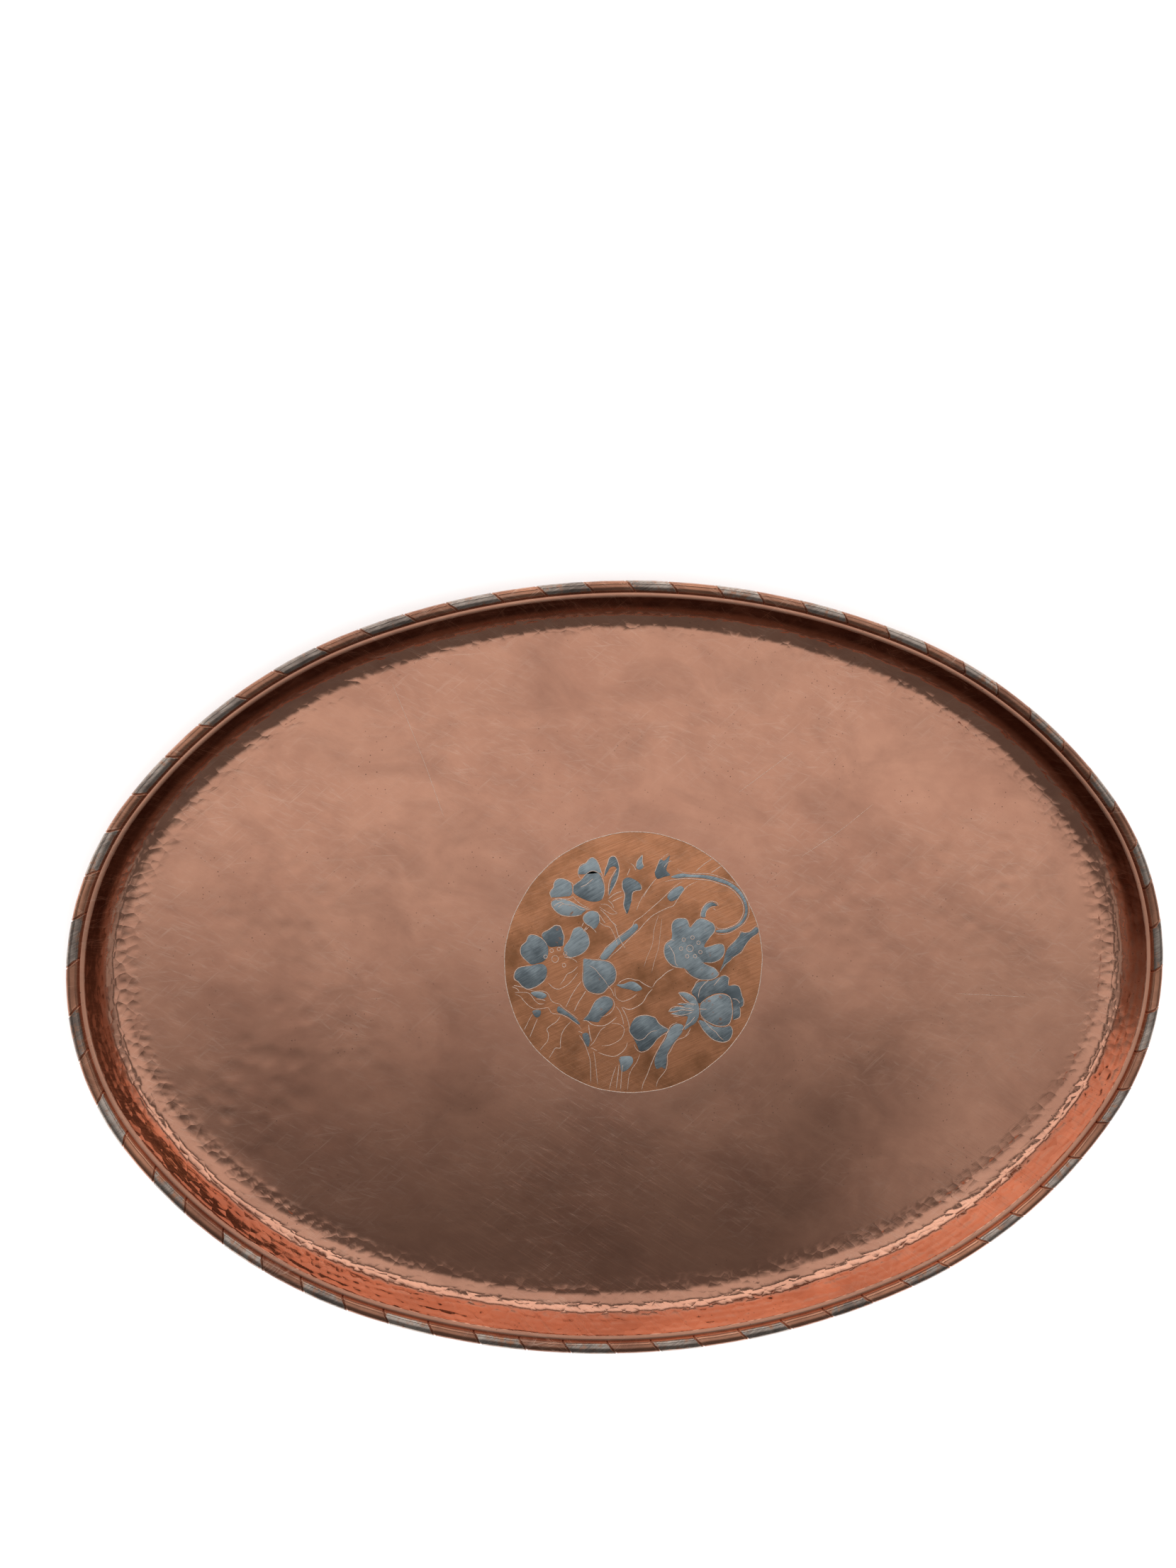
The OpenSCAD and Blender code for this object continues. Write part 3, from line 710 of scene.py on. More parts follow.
# ---------------------------------------------------------------------------------------------
# The medallion, in mm from its middle: tin patches, then the lines of the drawing over them.
# ---------------------------------------------------------------------------------------------
TIN_PATCHES = {
    "tin_upper_blossom": [
        "-28,49.6 -31.8,49.9 -31.3,53.2 -28,55.7 -25.7,57.9 -23.8,58.9 -21.4,57.4 -19.5,53.5 -18.8,50.5 "
        "-22,50",
        "-34,39 -34.2,43.2 -32.6,45 -29.6,47 -27.3,49.6 -24.7,51.2 -21.9,51.1 -19.5,49.3 -17.7,45 "
        "-17,40.5 -18.4,35.6 -22.5,34.2 -27.5,35.2",
        "-46.6,37 -47.4,39.5 -45.9,42.3 -45,45.4 -41.8,47.4 -37.6,46.3 -35.4,43.8 -35.6,38.2 -39.9,37.3",
        "-46.2,35 -46.6,32.7 -43.4,28.3 -37.1,26.4 -31.2,26.8 -28.9,28.4 -27.6,29.9 -32.1,32.6 -37,35.2 "
        "-41.5,36",
    ],
    "tin_upper_calyx": [
        "-26.3,28.6 -28.5,26.6 -29,24.6 -27.9,22.4 -25.6,20.7 -22.8,19 -20.6,21.5 -19.7,25.4 -21.2,28.3 "
        "-23.6,29.2",
    ],
    "tin_loop_petal": [
        "-17,48.4 -16.4,52 -14.6,57.4 -12.3,59.5 -10.2,58 -8.8,53.6 -9.2,48.6 -11.6,42.6 -14.4,37.6 "
        "-14,42 -12.9,46.6 -10.2,51.8 -11.2,53.7 -13.6,53.2 -15.4,50.4",
    ],
    "tin_left_blossom": [
        "-58.8,0.2 -63.6,5.2 -64,9.2 -61,12.7 -59.5,15.8 -55.4,16 -51,13 -48.8,9.6 -48.9,5 -51,1.8 -55,0.4",
        "-48.4,9.9 -52,15.2 -51,17.7 -47,20 -44.4,21.4 -41.6,20.4 -39.9,15 -40.4,10.2 -44.2,9.6",
        "-39.2,10.2 -36.3,14.6 -34.4,19 -31,20.1 -28,18 -25.8,13.2 -26.2,8.9 -30.4,5.2 -35.8,3.5 "
        "-39.2,5.6 -40.1,8.2",
        "-59,-0.9 -65,-1.9 -67.7,-6 -65.4,-9.6 -60.6,-13.4 -54.6,-11.8 -50.4,-8 -49.4,-3 -51.4,-0.2 -55,0",
    ],
    "tin_right_blossom": [
        "21.2,15 20.9,19.6 22.7,23.1 26.4,24.2 29.8,23.2 31.4,19 35,22.8 38,23.8 44,21.3 46,17.9 "
        "43.6,13.8 40.8,10.6 39.9,7.6 46,9.1 50.4,8.7 51.1,4.6 48.8,0.8 44,-1 39.2,-1.2 44.8,-4 47.6,-7.4 "
        "45,-10.2 38.6,-10.6 32.4,-8.2 28.4,-4.2 23.8,-3.2 18.6,0.2 16.8,4.4 17.4,9.4 20.4,12",
    ],
    "tin_rose_petals": [
        "37.3,-24.7 41.6,-21 46.6,-19.2 51.8,-19.5 54.8,-22.4 55.6,-28.4 54.3,-34.8 50.6,-37 45.4,-36.3 "
        "40.4,-33.8 37.3,-29.6",
        "32.4,-17.9 34.4,-13.4 37.4,-11.6 43,-11.4 48.6,-9.3 51.4,-8.7 53.6,-10.4 53.6,-14.2 57.3,-14.2 "
        "60.1,-16.2 61.8,-22 61.6,-25.8 60,-27.4 59.9,-31.6 57,-33.4 55.9,-33.2 56,-26 54.8,-21.6 "
        "51.8,-18.9 46.4,-18.6 41.2,-20.4 36.6,-24 34.6,-20.6",
        "36.2,-33.6 40.4,-34.6 45,-37.1 50.6,-37.8 54.3,-37.2 55.5,-40.4 54,-44.4 50,-46 44.4,-44.3 "
        "39.8,-40.2",
    ],
    "tin_rose_sepals": [
        "24.8,-17.8 28.4,-17.6 33.2,-20 35.7,-23.4 36.5,-27 36.2,-31.4 34.4,-34.8 31,-37 28,-38.6 "
        "28.8,-35 29.8,-31.2 26,-30.9 20.4,-29.4 24.6,-28.2 19.2,-27.9 23,-25.8 28,-25.2 24.2,-24.2 "
        "29,-23.6 30.6,-23",
    ],
    "tin_rose_stem": [
        "24,-35 20.8,-36.6 18.8,-39.4 17.4,-43 14.4,-47.4 11.6,-52.6 10.8,-56.6 12,-60 14.8,-59.2 "
        "16.8,-60.2 17.8,-56.4 18,-52.4 20.6,-47.6 23.6,-43.8 26.6,-40 27.4,-36.4",
    ],
    "tin_upper_leaf": [
        "-28.9,2.4 -24,1.7 -17.3,1 -13.2,-0.9 -10.9,-5 -11.6,-10.2 -15.2,-13.4 -18.2,-16.5 -22.6,-16.8 "
        "-27,-14.7 -29.2,-9.6 -29,-3.6",
    ],
    "tin_middle_leaf": [
        "-29,-31.3 -26.2,-28 -23.8,-23.4 -20.6,-19.9 -16.4,-18.8 -13,-20.8 -12.8,-24.4 -16.4,-28.2 "
        "-19.2,-30.8 -21,-33 -25,-32.4",
    ],
    "tin_centre_leaf": [
        "-10.4,-12.4 -6.4,-12 -3,-10.8 0.4,-11.4 4,-14.8 1,-16.4 -3.4,-15.2 -7.6,-14.2",
    ],
    "tin_lower_leaf": [
        "-1.6,-33.2 1.6,-30.6 6.4,-30 11,-31.5 14.2,-35 18.8,-38.2 14.6,-41.4 10.4,-46 6.6,-49.2 "
        "2.6,-49.8 0.9,-46.4 -1.8,-41 -3.2,-38",
    ],
    "tin_left_bud": [
        "-6.4,46 -3.6,47.6 0.6,46 3.4,43.6 3.6,40.6 -1,39.4 -2,33.4 -4.4,27 -6,32 -5.4,37.6 -6.8,42",
        "1,53 1.6,56.4 4.6,60 4.4,56 5.2,53.4 3,51.8",
    ],
    "tin_right_bud": [
        "11.6,50 13.4,54.4 14.6,57.6 17,56.8 20.2,59.6 19.2,55.2 18.2,51.4 20.4,48.6 16.8,47.6 13,46.6",
    ],
    "tin_tendril": [
        "20.8,47.6 26.4,49.4 32,48.8 40.4,48.4 48.4,46.6 55,43.8 60.4,39.6 63.8,34 64.9,28 63.4,22.6 "
        "59.6,18.8 53.6,15.8 47,15.8 47,17.2 53,17.7 58.8,20.2 62.4,24.6 63.1,30 60.4,36.2 54.4,41.8 "
        "47.6,44.4 39.9,46.4 30.4,47.1 24,46.7",
    ],
    "tin_hook": [
        "38,24.8 38.3,28 40.4,31.4 43.6,33 46.2,32.2 47.2,30.9 44.3,30.7 41.8,29.2 40.6,26.8 40.3,24.6",
    ],
    "tin_twig": [
        "52.4,5.4 56.2,9.6 59.8,13.4 61.2,15.6 65.6,15.6 69.8,18.6 70.8,15.4 66.8,12.6 63,8 60.6,4.6 "
        "55.6,1 51.4,-3.4 48.8,-5.8 50.4,-1.4",
    ],
    "tin_branch": [
        "-19.6,2.6 -16.6,7.6 -11,12.4 -5,17 0.4,21.6 1.8,18.8 -3.6,13.6 -9.6,9.4 -13.6,4.6 -16.4,1.8",
        "18.6,36.6 21.4,40.2 26,42.4 28.2,40.4 24.8,35.6 20.6,33.8",
    ],
    "tin_trunk": [
        "-58.4,-15.6 -52.6,-15.4 -49.6,-17.4 -51.6,-19.2 -55.6,-18.4",
        "-43,-23.6 -38.6,-26.6 -34,-30.2 -31,-33.8 -33.4,-33.2 -38,-29.4 -43.6,-26.8",
        "-29.8,-39.6 -26.8,-39 -25.6,-43 -26.6,-46.6 -28.6,-44",
        "-57.6,-25.9 -53.2,-25.6 -53.4,-28.6 -55.8,-29.4",
    ],
    "tin_grass": [
        "-9.4,-53.4 -6.6,-52.4 -2.2,-52.8 -1.4,-56 -4.8,-60.2 -8,-60.8 -8.6,-57",
    ],
}

LINES = {
    "upper blossom": [
        "-30,46.6 -31.8,49.9 -31.3,53.2 -29.9,55 -27.4,55.9 -25.7,57.9 -23.8,58.9 -21.8,57.9 -20.4,55.7 "
        "-19.3,52.7 -18.2,49.3 -17,47",
        "-34.9,38.2 -34.6,42.7 -33.2,44.2 -30,46.6 -27.7,49.3 -24.9,51.2 -22.1,51.2 -19.9,49.9 -18.2,47.7 "
        "-17.2,44.3 -16.9,41 -17.4,37.7 -18.5,35.2",
        "-30.5,42.5 -27,44 -23.3,47.2",
        "-46.6,36.3 -47.6,38.8 -47.2,40.7 -45.7,42.4 -45.2,45.2 -43.5,47 -41.3,47.4 -38.8,46.8 -36.3,45.4 "
        "-34.6,43.7 -34.9,37.7",
        "-46.6,35.2 -46.8,32.7 -45.4,30.4 -43.2,28.2 -40.4,26.8 -37.1,26.3 -33.2,26.4 -29.9,27.1",
        "-24.6,29.8 -28.2,30.7 -32.1,32.4 -36,34.6 -40.4,36 -43.8,36.3 -46.6,35.2",
        "-45.7,31.6 -43.8,33.2 -40.4,34.3", "-43.2,31.3 -40.4,33.5 -39.9,32.9",
        "-40.4,33.2 -37.1,32.7 -33.8,32.1 -29.9,29.9 -25.4,29.9",
        "-34.9,37.7 -33.2,35.4 -29.9,32.7 -25.4,30.4",
        "-44.9,36.3 -42.7,35.2 -40.4,36 -37.1,36 -34.9,37.1",
    ],
    "upper sepals and loop petal": [
        "-19.3,32.7 -16.6,32.7 -14.3,31.6 -12.1,29.3 -9.6,27.6",
        "-19.9,31.3 -17.1,29.3 -14.3,27.7 -12.1,27.1 -9.6,27.6",
        "-14.9,34.9 -12.7,32.7 -11.8,30.4", "-19.3,29.9 -15.4,26 -13.2,23.2 -9.9,20.2",
        "-19.9,27.1 -18.2,24.3 -16.6,22.1",
        "-19.9,22.7 -17.1,20.7 -14.3,19.9 -12.1,16.6 -10.4,12.1 -9.9,9.3",
        "-13.2,23.2 -11,20.4 -9.3,14.9 -7.1,10.4 -5.2,7.7",
        "-26,28.8 -28.5,26.8 -29.1,24.9 -28.2,22.7 -26,21 -23.8,19.9",
        "-19.9,22.7 -19.9,26 -21,28.2 -23.2,29.1",
        "-25.2,20.4 -23.2,18.8 -21.6,16.8", "-28.8,22.7 -29.9,20.4", "-27.1,20.4 -28.8,17.9 -26,19.9",
        "-17.1,48.2 -16.6,51.6 -15.2,55.2 -14.3,58.2 -12.7,59.4 -10.9,59.2 -9.6,57.1 -8.7,53.8 -8.7,51 "
        "-9.6,47.1 -11.3,43.2 -13.2,39.9 -14.6,37.1",
        "-14.9,37.1 -14.3,44.9 -12.1,49.3 -9.9,52.7", "-14.9,35.5 -11.6,38.2 -7.1,39.9",
        "-13.2,33.8 -9.9,35.5 -6.5,37",
    ],
    "left blossom": [
        "-58.8,0.2 -61.6,2.7 -63.8,5.4 -64.2,8.2 -63.5,10.4 -61,12.7 -59.9,15.4 -58.2,16.4 -55.4,16 "
        "-52.7,14.6 -50.4,12.4 -49,9.9",
        "-52.4,15.4 -51.6,17.4 -48.8,18.8 -46.6,20.2 -44.9,21.3 -43.2,21.3 -41.6,20.4 -40.4,17.1 "
        "-39.8,14.9 -40.2,11.6 -40.4,9.9",
        "-39.3,10.4 -37.1,12.7 -36,15.4 -34.6,18.8 -32.7,20 -30.4,20.2 -28.8,18.5 -26.8,16.6 -25.7,13.2 "
        "-25.7,10.4 -27.1,7.9 -29.3,5.7 -32.7,4.1 -35.4,3.5 -37.7,3.8 -39.6,5.7",
        "-39.9,3.8 -37.1,3.2 -34.3,2.1 -32.4,0.4", "-32.1,-1.6 -34.9,-4.3 -38.2,-6 -39.9,-8.8 -42.1,-11.6",
        "-32.4,-5.4 -34.9,-8.8 -37.7,-11.6 -40.4,-13.2 -43.2,-14.1 -46,-13.2 -48.8,-10.4",
        "-58.8,-0.7 -62.1,-1.1 -65.2,-1.8 -67.1,-3.8 -67.8,-6.3 -67.4,-8.2 -65.4,-9.6 -63.5,-11.8 "
        "-61,-13.5 -59.3,-13.7 -56,-12.7 -53.2,-11 -51,-9.1 -49.2,-6.5",
    ],
    "upper and middle leaves": [
        "-29,2.6 -24,2.1 -17.3,1.3 -12.9,-0.6 -10.7,-5 -11.3,-10.4 -15,-13.8 -18.2,-16.8 -22.4,-17.2 "
        "-27.2,-15 -29.6,-9.6 -29.4,-3.6 -29,2.6",
        "-25.7,-1.3 -22.7,-3.2 -19.9,-6.6 -17.1,-9.9 -15.4,-12.7",
        "-29.3,-31.6 -27.1,-29.3 -25.4,-26.6 -24.3,-24.3 -22.7,-21.6 -20.4,-19.6 -17.7,-18.5 -14.9,-19.1 "
        "-12.7,-20.4 -11.7,-23.2 -12.4,-26 -14.3,-28.2 -17.1,-29.6 -19.9,-30",
        "-29.6,-32 -27.1,-32.1 -24.3,-34.3 -20.4,-35.1 -17.1,-34.9 -13.8,-33.2 -10.4,-30.4",
        "-25.7,-46.3 -23.2,-43.8 -21,-39.9 -19.3,-37.4 -16.8,-35.7",
        "-13.2,-33.8 -10.4,-34.1 -7.7,-35.2 -6.3,-37.1 -6.6,-39.9 -8.2,-42.7 -11.6,-44.9 -14.9,-46 "
        "-19.1,-46.3",
        "-25.2,-47.1 -21.3,-49.1", "-21,-49.9 -16.6,-51.6 -12.1,-52.4 -8.2,-50.7 -5.4,-47.7 -4.5,-44.9",
    ],
    "centre and lower leaves": [
        "-9.9,-12.4 -8.2,-10.7 -4.9,-9.3 -2.1,-9.3 0,-10 2.1,-10.3 4.3,-11.8 7.1,-13.5 9.9,-14.6",
        "-11.3,-13.8 -11.3,-17.1 -10.4,-19.9 -7.7,-21.6 -4.9,-21.3 -1.6,-19.9 1.2,-17.7",
        "-7.1,-24.9 -3.8,-26.4 0.1,-25.4 4.3,-22.7 7.1,-18.2 9.9,-15.2",
        "-1.5,-33 0.4,-31 3.2,-30 6.6,-29.9 9.3,-30.6 11.6,-31.6 13.2,-34.3 16,-36.6 19.6,-38.4",
        "-2.9,-36 -3.4,-38.2 -2.3,-40.4 -0.1,-42.9 2.1,-43.7 4.9,-42.9 7.1,-40.7 9.3,-39.1 12.4,-38.5",
        "-0.7,-46 0.2,-48.2 2.1,-50 4.3,-50.4 7.1,-49.3 9.9,-46.6 12.1,-43.8 14.9,-41.6 18.2,-39.9 "
        "19.6,-38.6",
    ],
    "right blossom": [
        "21.3,15.4 21,18.2 21.3,21.3 22.7,23.2 24.9,24.1 28.2,24.1 29.9,23.2 30.7,21.3 31.6,18.8",
        "31.6,18.8 33.8,21.3 35.7,23.2 37.7,23.9 39.9,23.5 42.1,22.4 44.3,21.3 45.4,19.9 46,17.7 "
        "44.9,15.4 42.9,13.2 40.4,9.9",
        "39.9,7.4 43.2,8.2 46.6,9.2 49.3,9.3 50.7,8.5 51.3,6 50.7,3.2 48.8,0.7 46,-0.7 43.2,-1.2 39.9,-0.9",
        "28.2,-3.8 29.3,-6 31.6,-7.9 34.3,-9.6 37.1,-10.6 40.4,-10.9 43.8,-10.6 46.6,-9.3 47.9,-7.7 "
        "47.4,-6.6 45.4,-4.3 42.7,-3.2 40.4,-2.1 38.2,-0.7",
        "22.7,11.8 20.4,12.1 18.8,11.3 17.1,9.3 16.6,6.6 16.8,3.8 17.7,1.6 19.3,-0.7 21.3,-2.6 23.8,-3.4 "
        "27.5,-4",
        "19.1,9.3 21,6.6 22.4,3.8 22.7,1.6 23.2,-1.2 24.6,-2.9",
    ],
    "hook, tendril and twig": [
        "37.4,23.8 37.8,27.1 38.8,29.9 41,32.4 43.2,33.5 45.4,33.3 47.4,32.1 47.9,30.4",
        "40.4,24.1 40.7,27.1 42.1,29.1 44.3,30.2 46.4,30.5",
        "44.9,29.3 46.3,28.5",
        "52.7,6.6 54.9,8.8 57.7,11.3 59.9,14.3 60.7,16 63.2,15.4 66,16.3 68.2,17.9 70.2,19.6",
        "71.6,14.9 68.2,13.2 64.9,10.4 62.7,7.1 61,4.3 57.1,2.1 54.3,-0.4 51.6,-2.4 50.2,-4.3 48.2,-7.1",
        "24.3,52.1 26.6,50.4 30.4,49.6 34.9,49.2 40.4,49.2 44.9,48.5 50.4,46.6 54.9,44.6 58.8,42.4 "
        "61.6,39.3 63.8,36 65.2,32.1 65.7,28.8 65.4,25.4 63.8,22.1 61.6,19.6 58.8,17.9 55.4,16 51,14.7 "
        "47.7,14.9 45.7,15.7",
        "17.1,44.9 21,45.7 25.4,46.3 30.4,46.4 34.9,46.1 39.9,45.7 44.3,44.9 48.8,43.2 53.2,41.6 "
        "56.6,39.3 59.3,36.3 61.6,32.9 62.5,29.3 62.1,26 60.4,22.7 58.2,20.4 54.9,18.8 51,17.8 47.4,18.2 "
        "46.3,19.6",
    ],
    "branch and buds": [
        "-21,1.8 -18.8,4.9 -16,8.8 -13.2,11 -9.3,14.3 -5.4,17.1 -1.6,19.9 0,22.9 4.3,25.7 9.9,30.4 "
        "14.9,34.6 19.9,39.3 23.8,42.7 27.1,44.9",
        "-15.4,1.6 -12.1,4.9 -9.3,7.1 -0.7,15.4 2.1,17.7 6,22.1 9.9,25.7 13.8,27.9 18.2,29.9 22.1,31.3 "
        "23.8,33.8 26,37.1 29.3,41.3 32.1,43.2 36,44.9",
        "34.9,50.4 38.2,53.2 41.6,55.7 44.9,57.7", "43.8,49.6 46.6,51.3 49.9,53.5",
        "-2.1,55.4 -0.4,54 1,51.3", "-2.4,52.7 -4.3,48.2",
        "14.3,56.6 17.1,59.3 19.6,60.7", "16.6,52.7 18.8,55.4 21.3,56.8",
        "12.7,47.1 7.1,40.4 3.2,34.3 1,28.8", "11,45.5 6.5,39 5.2,36.3",
        "-6.8,46 -6.9,42 -5.5,37.6 -6.2,32 -4.4,26.8", "3.6,43.6 3.8,40.6 -0.8,39.2 -1.8,33.4",
        "4.6,60.2 1.6,56.6 0.8,53",
        "4.7,60 4.6,56 5.4,53.4", "14.6,57.8 13.2,54.4 11.4,50",
    ],
    "rose": [
        "31.6,-17.7 33.8,-14.3 34.9,-12.1 36.8,-10.7", "36,-21 36.8,-16.6 39.3,-13.2 42.1,-11",
        "44.9,-14.3 47.7,-11 48.8,-9.9",
        "48.8,-9.1 51,-8.5 52.7,-9.1 53.8,-10.2 53.5,-11.8 53.2,-14.3",
        "54.6,-14.3 57.1,-14.1 59.3,-14.9 60.4,-17.1 61,-19.9 62.1,-22.7 62.1,-25.4 60.7,-26.6",
        "59.9,-26.6 60.2,-29.3 59.9,-32.1 58.2,-33.2 56.3,-33.7",
        "55.7,-21.8 57.7,-22.1 59.1,-23.2 59.9,-24.6",
        "37.1,-24.9 38.2,-23.2 41.6,-21 44.9,-19.6 48.8,-18.9 52.1,-19.6 54.3,-21 55,-23.2 55.3,-26 "
        "55.7,-29.3 55,-32.7 54.3,-34.9 52.7,-36.8 49.9,-37.2 46,-36.6 43.2,-35.4 40.4,-33.8 38.2,-31.6 "
        "37.1,-29.3 37.1,-24.9",
        "35.7,-33.8 38.2,-38.2 41,-41.6 43.8,-44.1 47.1,-45.7 50.2,-46.2 52.7,-45.7 54.6,-43.8 55.7,-40.4 "
        "54.9,-37.7 53.5,-36.8",
        "37.4,-31.6 39.9,-34.3 43.2,-38.2 46,-40.4 48.2,-43.2 50.7,-45.2",
    ],
    "rose sepals": [
        "24.6,-17.7 27.7,-17.4 31,-18.5 33.8,-20.4 35,-22",
        "24.6,-17.7 26.6,-20.4 28.8,-22.7 31.6,-23.8 35,-24.5",
        "23.8,-24.1 26.6,-23.5 29.9,-24.1 34,-25", "18.8,-28.2 21,-26 24.9,-25.4 29,-26.5 33,-26.5",
        "18.8,-28.2 22.7,-28 27.1,-27.4 31,-27.8 34,-27.5",
        "19.9,-29.3 24.9,-30.4 29.3,-29.9 33.2,-28.5", "21.6,-30.7 25,-31.2",
        "28.8,-36.6 31.6,-34.3 34,-31.5", "26.3,-39.3 28.8,-36",
        "28.2,-42.7 30.4,-39.9 31.6,-37.7", "36,-27 41,-27.5",
    ],
    "rose stem": [
        "23.8,-34.3 20.4,-36 18.2,-39.9 16.6,-43.2 13.8,-47.7 11,-52.7 8.8,-57.7 6.6,-63.2 4.3,-68.2 "
        "3.5,-71.6",
        "31,-40.4 28.2,-42.7 23.8,-44.3 21.6,-47.1 19.9,-50.4 18.2,-52.7 18.2,-56 17.4,-60.4 14.9,-63.8 "
        "12.7,-66.6 11.6,-70.4",
    ],
    "foot stems": [
        "-11,-58.2 -12.7,-62.7 -13.8,-66.6 -14.9,-70.7", "-9.3,-57.1 -9.9,-62.7 -11,-71",
        "-7.1,-57.1 -7.9,-62.7 -8.5,-71.8",
        "2.6,-51.6 0.7,-56 -2.1,-59.9 -3.8,-64.3 -4.6,-72.1",
    ],
    "trunk": [
        "-59.3,-14.1 -56.6,-14.9 -52.7,-14.9 -50.4,-15.4 -48.8,-16.8 -47.4,-19.9 -45.4,-21.6 -42.7,-22.4 "
        "-40.4,-24.6 -37.1,-27.1 -34.3,-29.3 -32.1,-31.1",
        "-67.1,-16.3 -64.3,-17.7 -62.1,-20.4 -59.3,-23.2 -56,-24.8 -52.1,-24.6 -48.8,-24.4 -47.1,-27.1 "
        "-44.3,-27.9 -41.6,-28.2 -38.2,-29.9 -34.9,-32.1 -32.1,-34.3 -30.2,-37.1",
        "-55.4,-19.2 -52.7,-19.6 -50.2,-20.4", "-68.8,-12.1 -66,-13.5 -65,-15",
        "-68,-11.5 -64.9,-12.1 -62.7,-12.7",
        "-67.4,-15.4 -64.3,-15.4 -60.4,-15.7 -58.2,-17.4 -56,-20.4 -53.8,-22 -51,-22",
        "-57.7,-27.7 -59.3,-30.4 -61,-33.8 -62.4,-36.3",
        "-54.9,-30.4 -57.1,-35.4 -59.3,-40.7",
        "-42.1,-29.3 -44.3,-32.1 -47.7,-34.3 -49.6,-36.3 -48.8,-39 -49.3,-42.7 -51.6,-45.4 -53.5,-47.7",
        "-36.3,-32.4 -38.8,-34.9 -41,-38.2 -41.8,-41 -42.2,-44.3 -42.2,-46.8 -44.9,-46.8 -46.6,-49.3 "
        "-48.8,-52.7",
        "-30.4,-10.2 -33.2,-13.8 -36,-18.2 -37.7,-21.6 -39.1,-24.3",
        "-27.7,-15.4 -29.9,-18.8 -32.1,-22.1 -34.6,-27.1", "-32.1,-37.9 -29.6,-38.8",
        "-31.6,-39.9 -28.8,-44.3 -27.1,-48.8 -25.7,-53.2 -25.3,-58.2 -25.2,-67.1",
        "-26.3,-34.3 -25.7,-39.3 -24.6,-43.8",
        "-23.5,-49.3 -22.7,-54.3 -22.1,-59.9 -21.3,-68.8",
    ],
    "centre stems": [
        "9.9,-14.3 12.1,-11 14.9,-8.8 18.2,-6 22.1,-4.1", "-15.4,-12.7 -13.2,-15.4 -11.6,-19.3",
        "-11,-24.3 -8.8,-27.1 -7.1,-31.6 -6.6,-34.9",
        "-7.7,-24.9 -5.4,-29.3 -3.8,-33.8 -3.2,-38.2",
    ],
}
FAINT_LINES = ["13.5,26 11,18 10,10 7,3 5,-3", "15.5,24 14.5,16 13.5,8 11,0 9.5,-6"]
EYES = "-44.9,2.7 31.4,7.1"
DOTS = (
    "-46.8,7.4 -42.7,8.2 -39.2,5.6 -50.2,4.1 -39.9,-0.9 "
    "32.9,13.2 27.9,12.1 36.3,10.2 26.3,7.1 37.4,4.9 29.8,2.7 34.3,2.7"
)
LONG_SCRATCHES = ["-134,156 -118,116 -106,82", "96,58 118,72 139,88", "60,95 92,118", "188,-22 231,-25"]


def spots_of(text):
    """Points from a line of x,y pairs."""
    return np.array([[float(n) for n in pair.split(",")] for pair in text.split()])


def smooth_line(points, steps, closed):
    """A Catmull-Rom curve: between two points it leaves each along the line joining that point's
    own neighbours."""
    if closed:
        a, b, c, d = (np.roll(points, shift, axis=0) for shift in (1, 0, -1, -2))
    else:
        held = np.concatenate([points[:1] * 2 - points[1:2], points, points[-1:] * 2 - points[-2:-1]])
        a, b, c, d = held[:-3], held[1:-2], held[2:-1], held[3:]
    u = np.linspace(0.0, 1.0, steps, endpoint=False)[None, :, None]
    a, b, c, d = (p[:, None, :] for p in (a, b, c, d))
    curve = b + u * (c - a) / 2 + u**2 * (a - 2.5 * b + 2 * c - d / 2) + u**3 * (1.5 * (b - c) + (d - a) / 2)
    curve = curve.reshape(-1, 2)
    return curve if closed else np.concatenate([curve, points[-1:]])


def sideways(line, closed):
    """The unit direction to the left of the line at each of its points."""
    if closed:
        ahead = np.roll(line, -1, axis=0) - np.roll(line, 1, axis=0)
    else:
        ahead = np.gradient(line, axis=0)
    ahead = ahead / np.maximum(np.linalg.norm(ahead, axis=1, keepdims=True), 1e-9)
    return np.stack([-ahead[:, 1], ahead[:, 0]], axis=-1)


# A cut line's section: sideways share of the half width, and height in mm over the floor. Metal
# pushed up by the graver stands on both sides of the cut.
CUT_SECTION = np.array([[-1.0, -0.05], [-0.72, 0.115], [0.0, 0.065], [0.72, 0.115], [1.0, -0.05],
    [0.0, -0.4]])


def cut_line(line, half_width, closed):
    """The section carried along the line at the floor's own height; an open line thins to nothing
    at its two ends."""
    count = len(line)
    if closed:
        width = np.full(count, half_width)
    else:
        place = np.linspace(0.0, 1.0, count)
        width = half_width * np.clip(np.minimum(place, 1.0 - place) * 7.0 + 0.12, 0.0, 1.0) ** 0.5
    side = sideways(line, closed)
    flat = line[:, None, :] + side[:, None, :] * (width[:, None] * CUT_SECTION[None, :, 0])[..., None]
    flat = flat + MEDALLION
    height = SHEET_T + CUT_SECTION[:, 1] + floor_height(flat[..., 0], flat[..., 1])
    points = np.concatenate([flat, height[..., None]], axis=-1).reshape(-1, 3)
    size = len(CUT_SECTION)
    faces = grid_faces(count, size, 0, closed, True, True).tolist()
    if not closed:
        faces += [list(range(size)), [(count - 1) * size + k for k in range(size)][::-1]]
    return points, faces


def join_parts(parts):
    """Several (points, faces) as one, with the face numbers moved on."""
    points, faces, first = [], [], 0
    for some_points, some_faces in parts:
        points.append(some_points)
        faces += [[first + k for k in face] for face in some_faces]
        first += len(some_points)
    return np.concatenate(points), faces


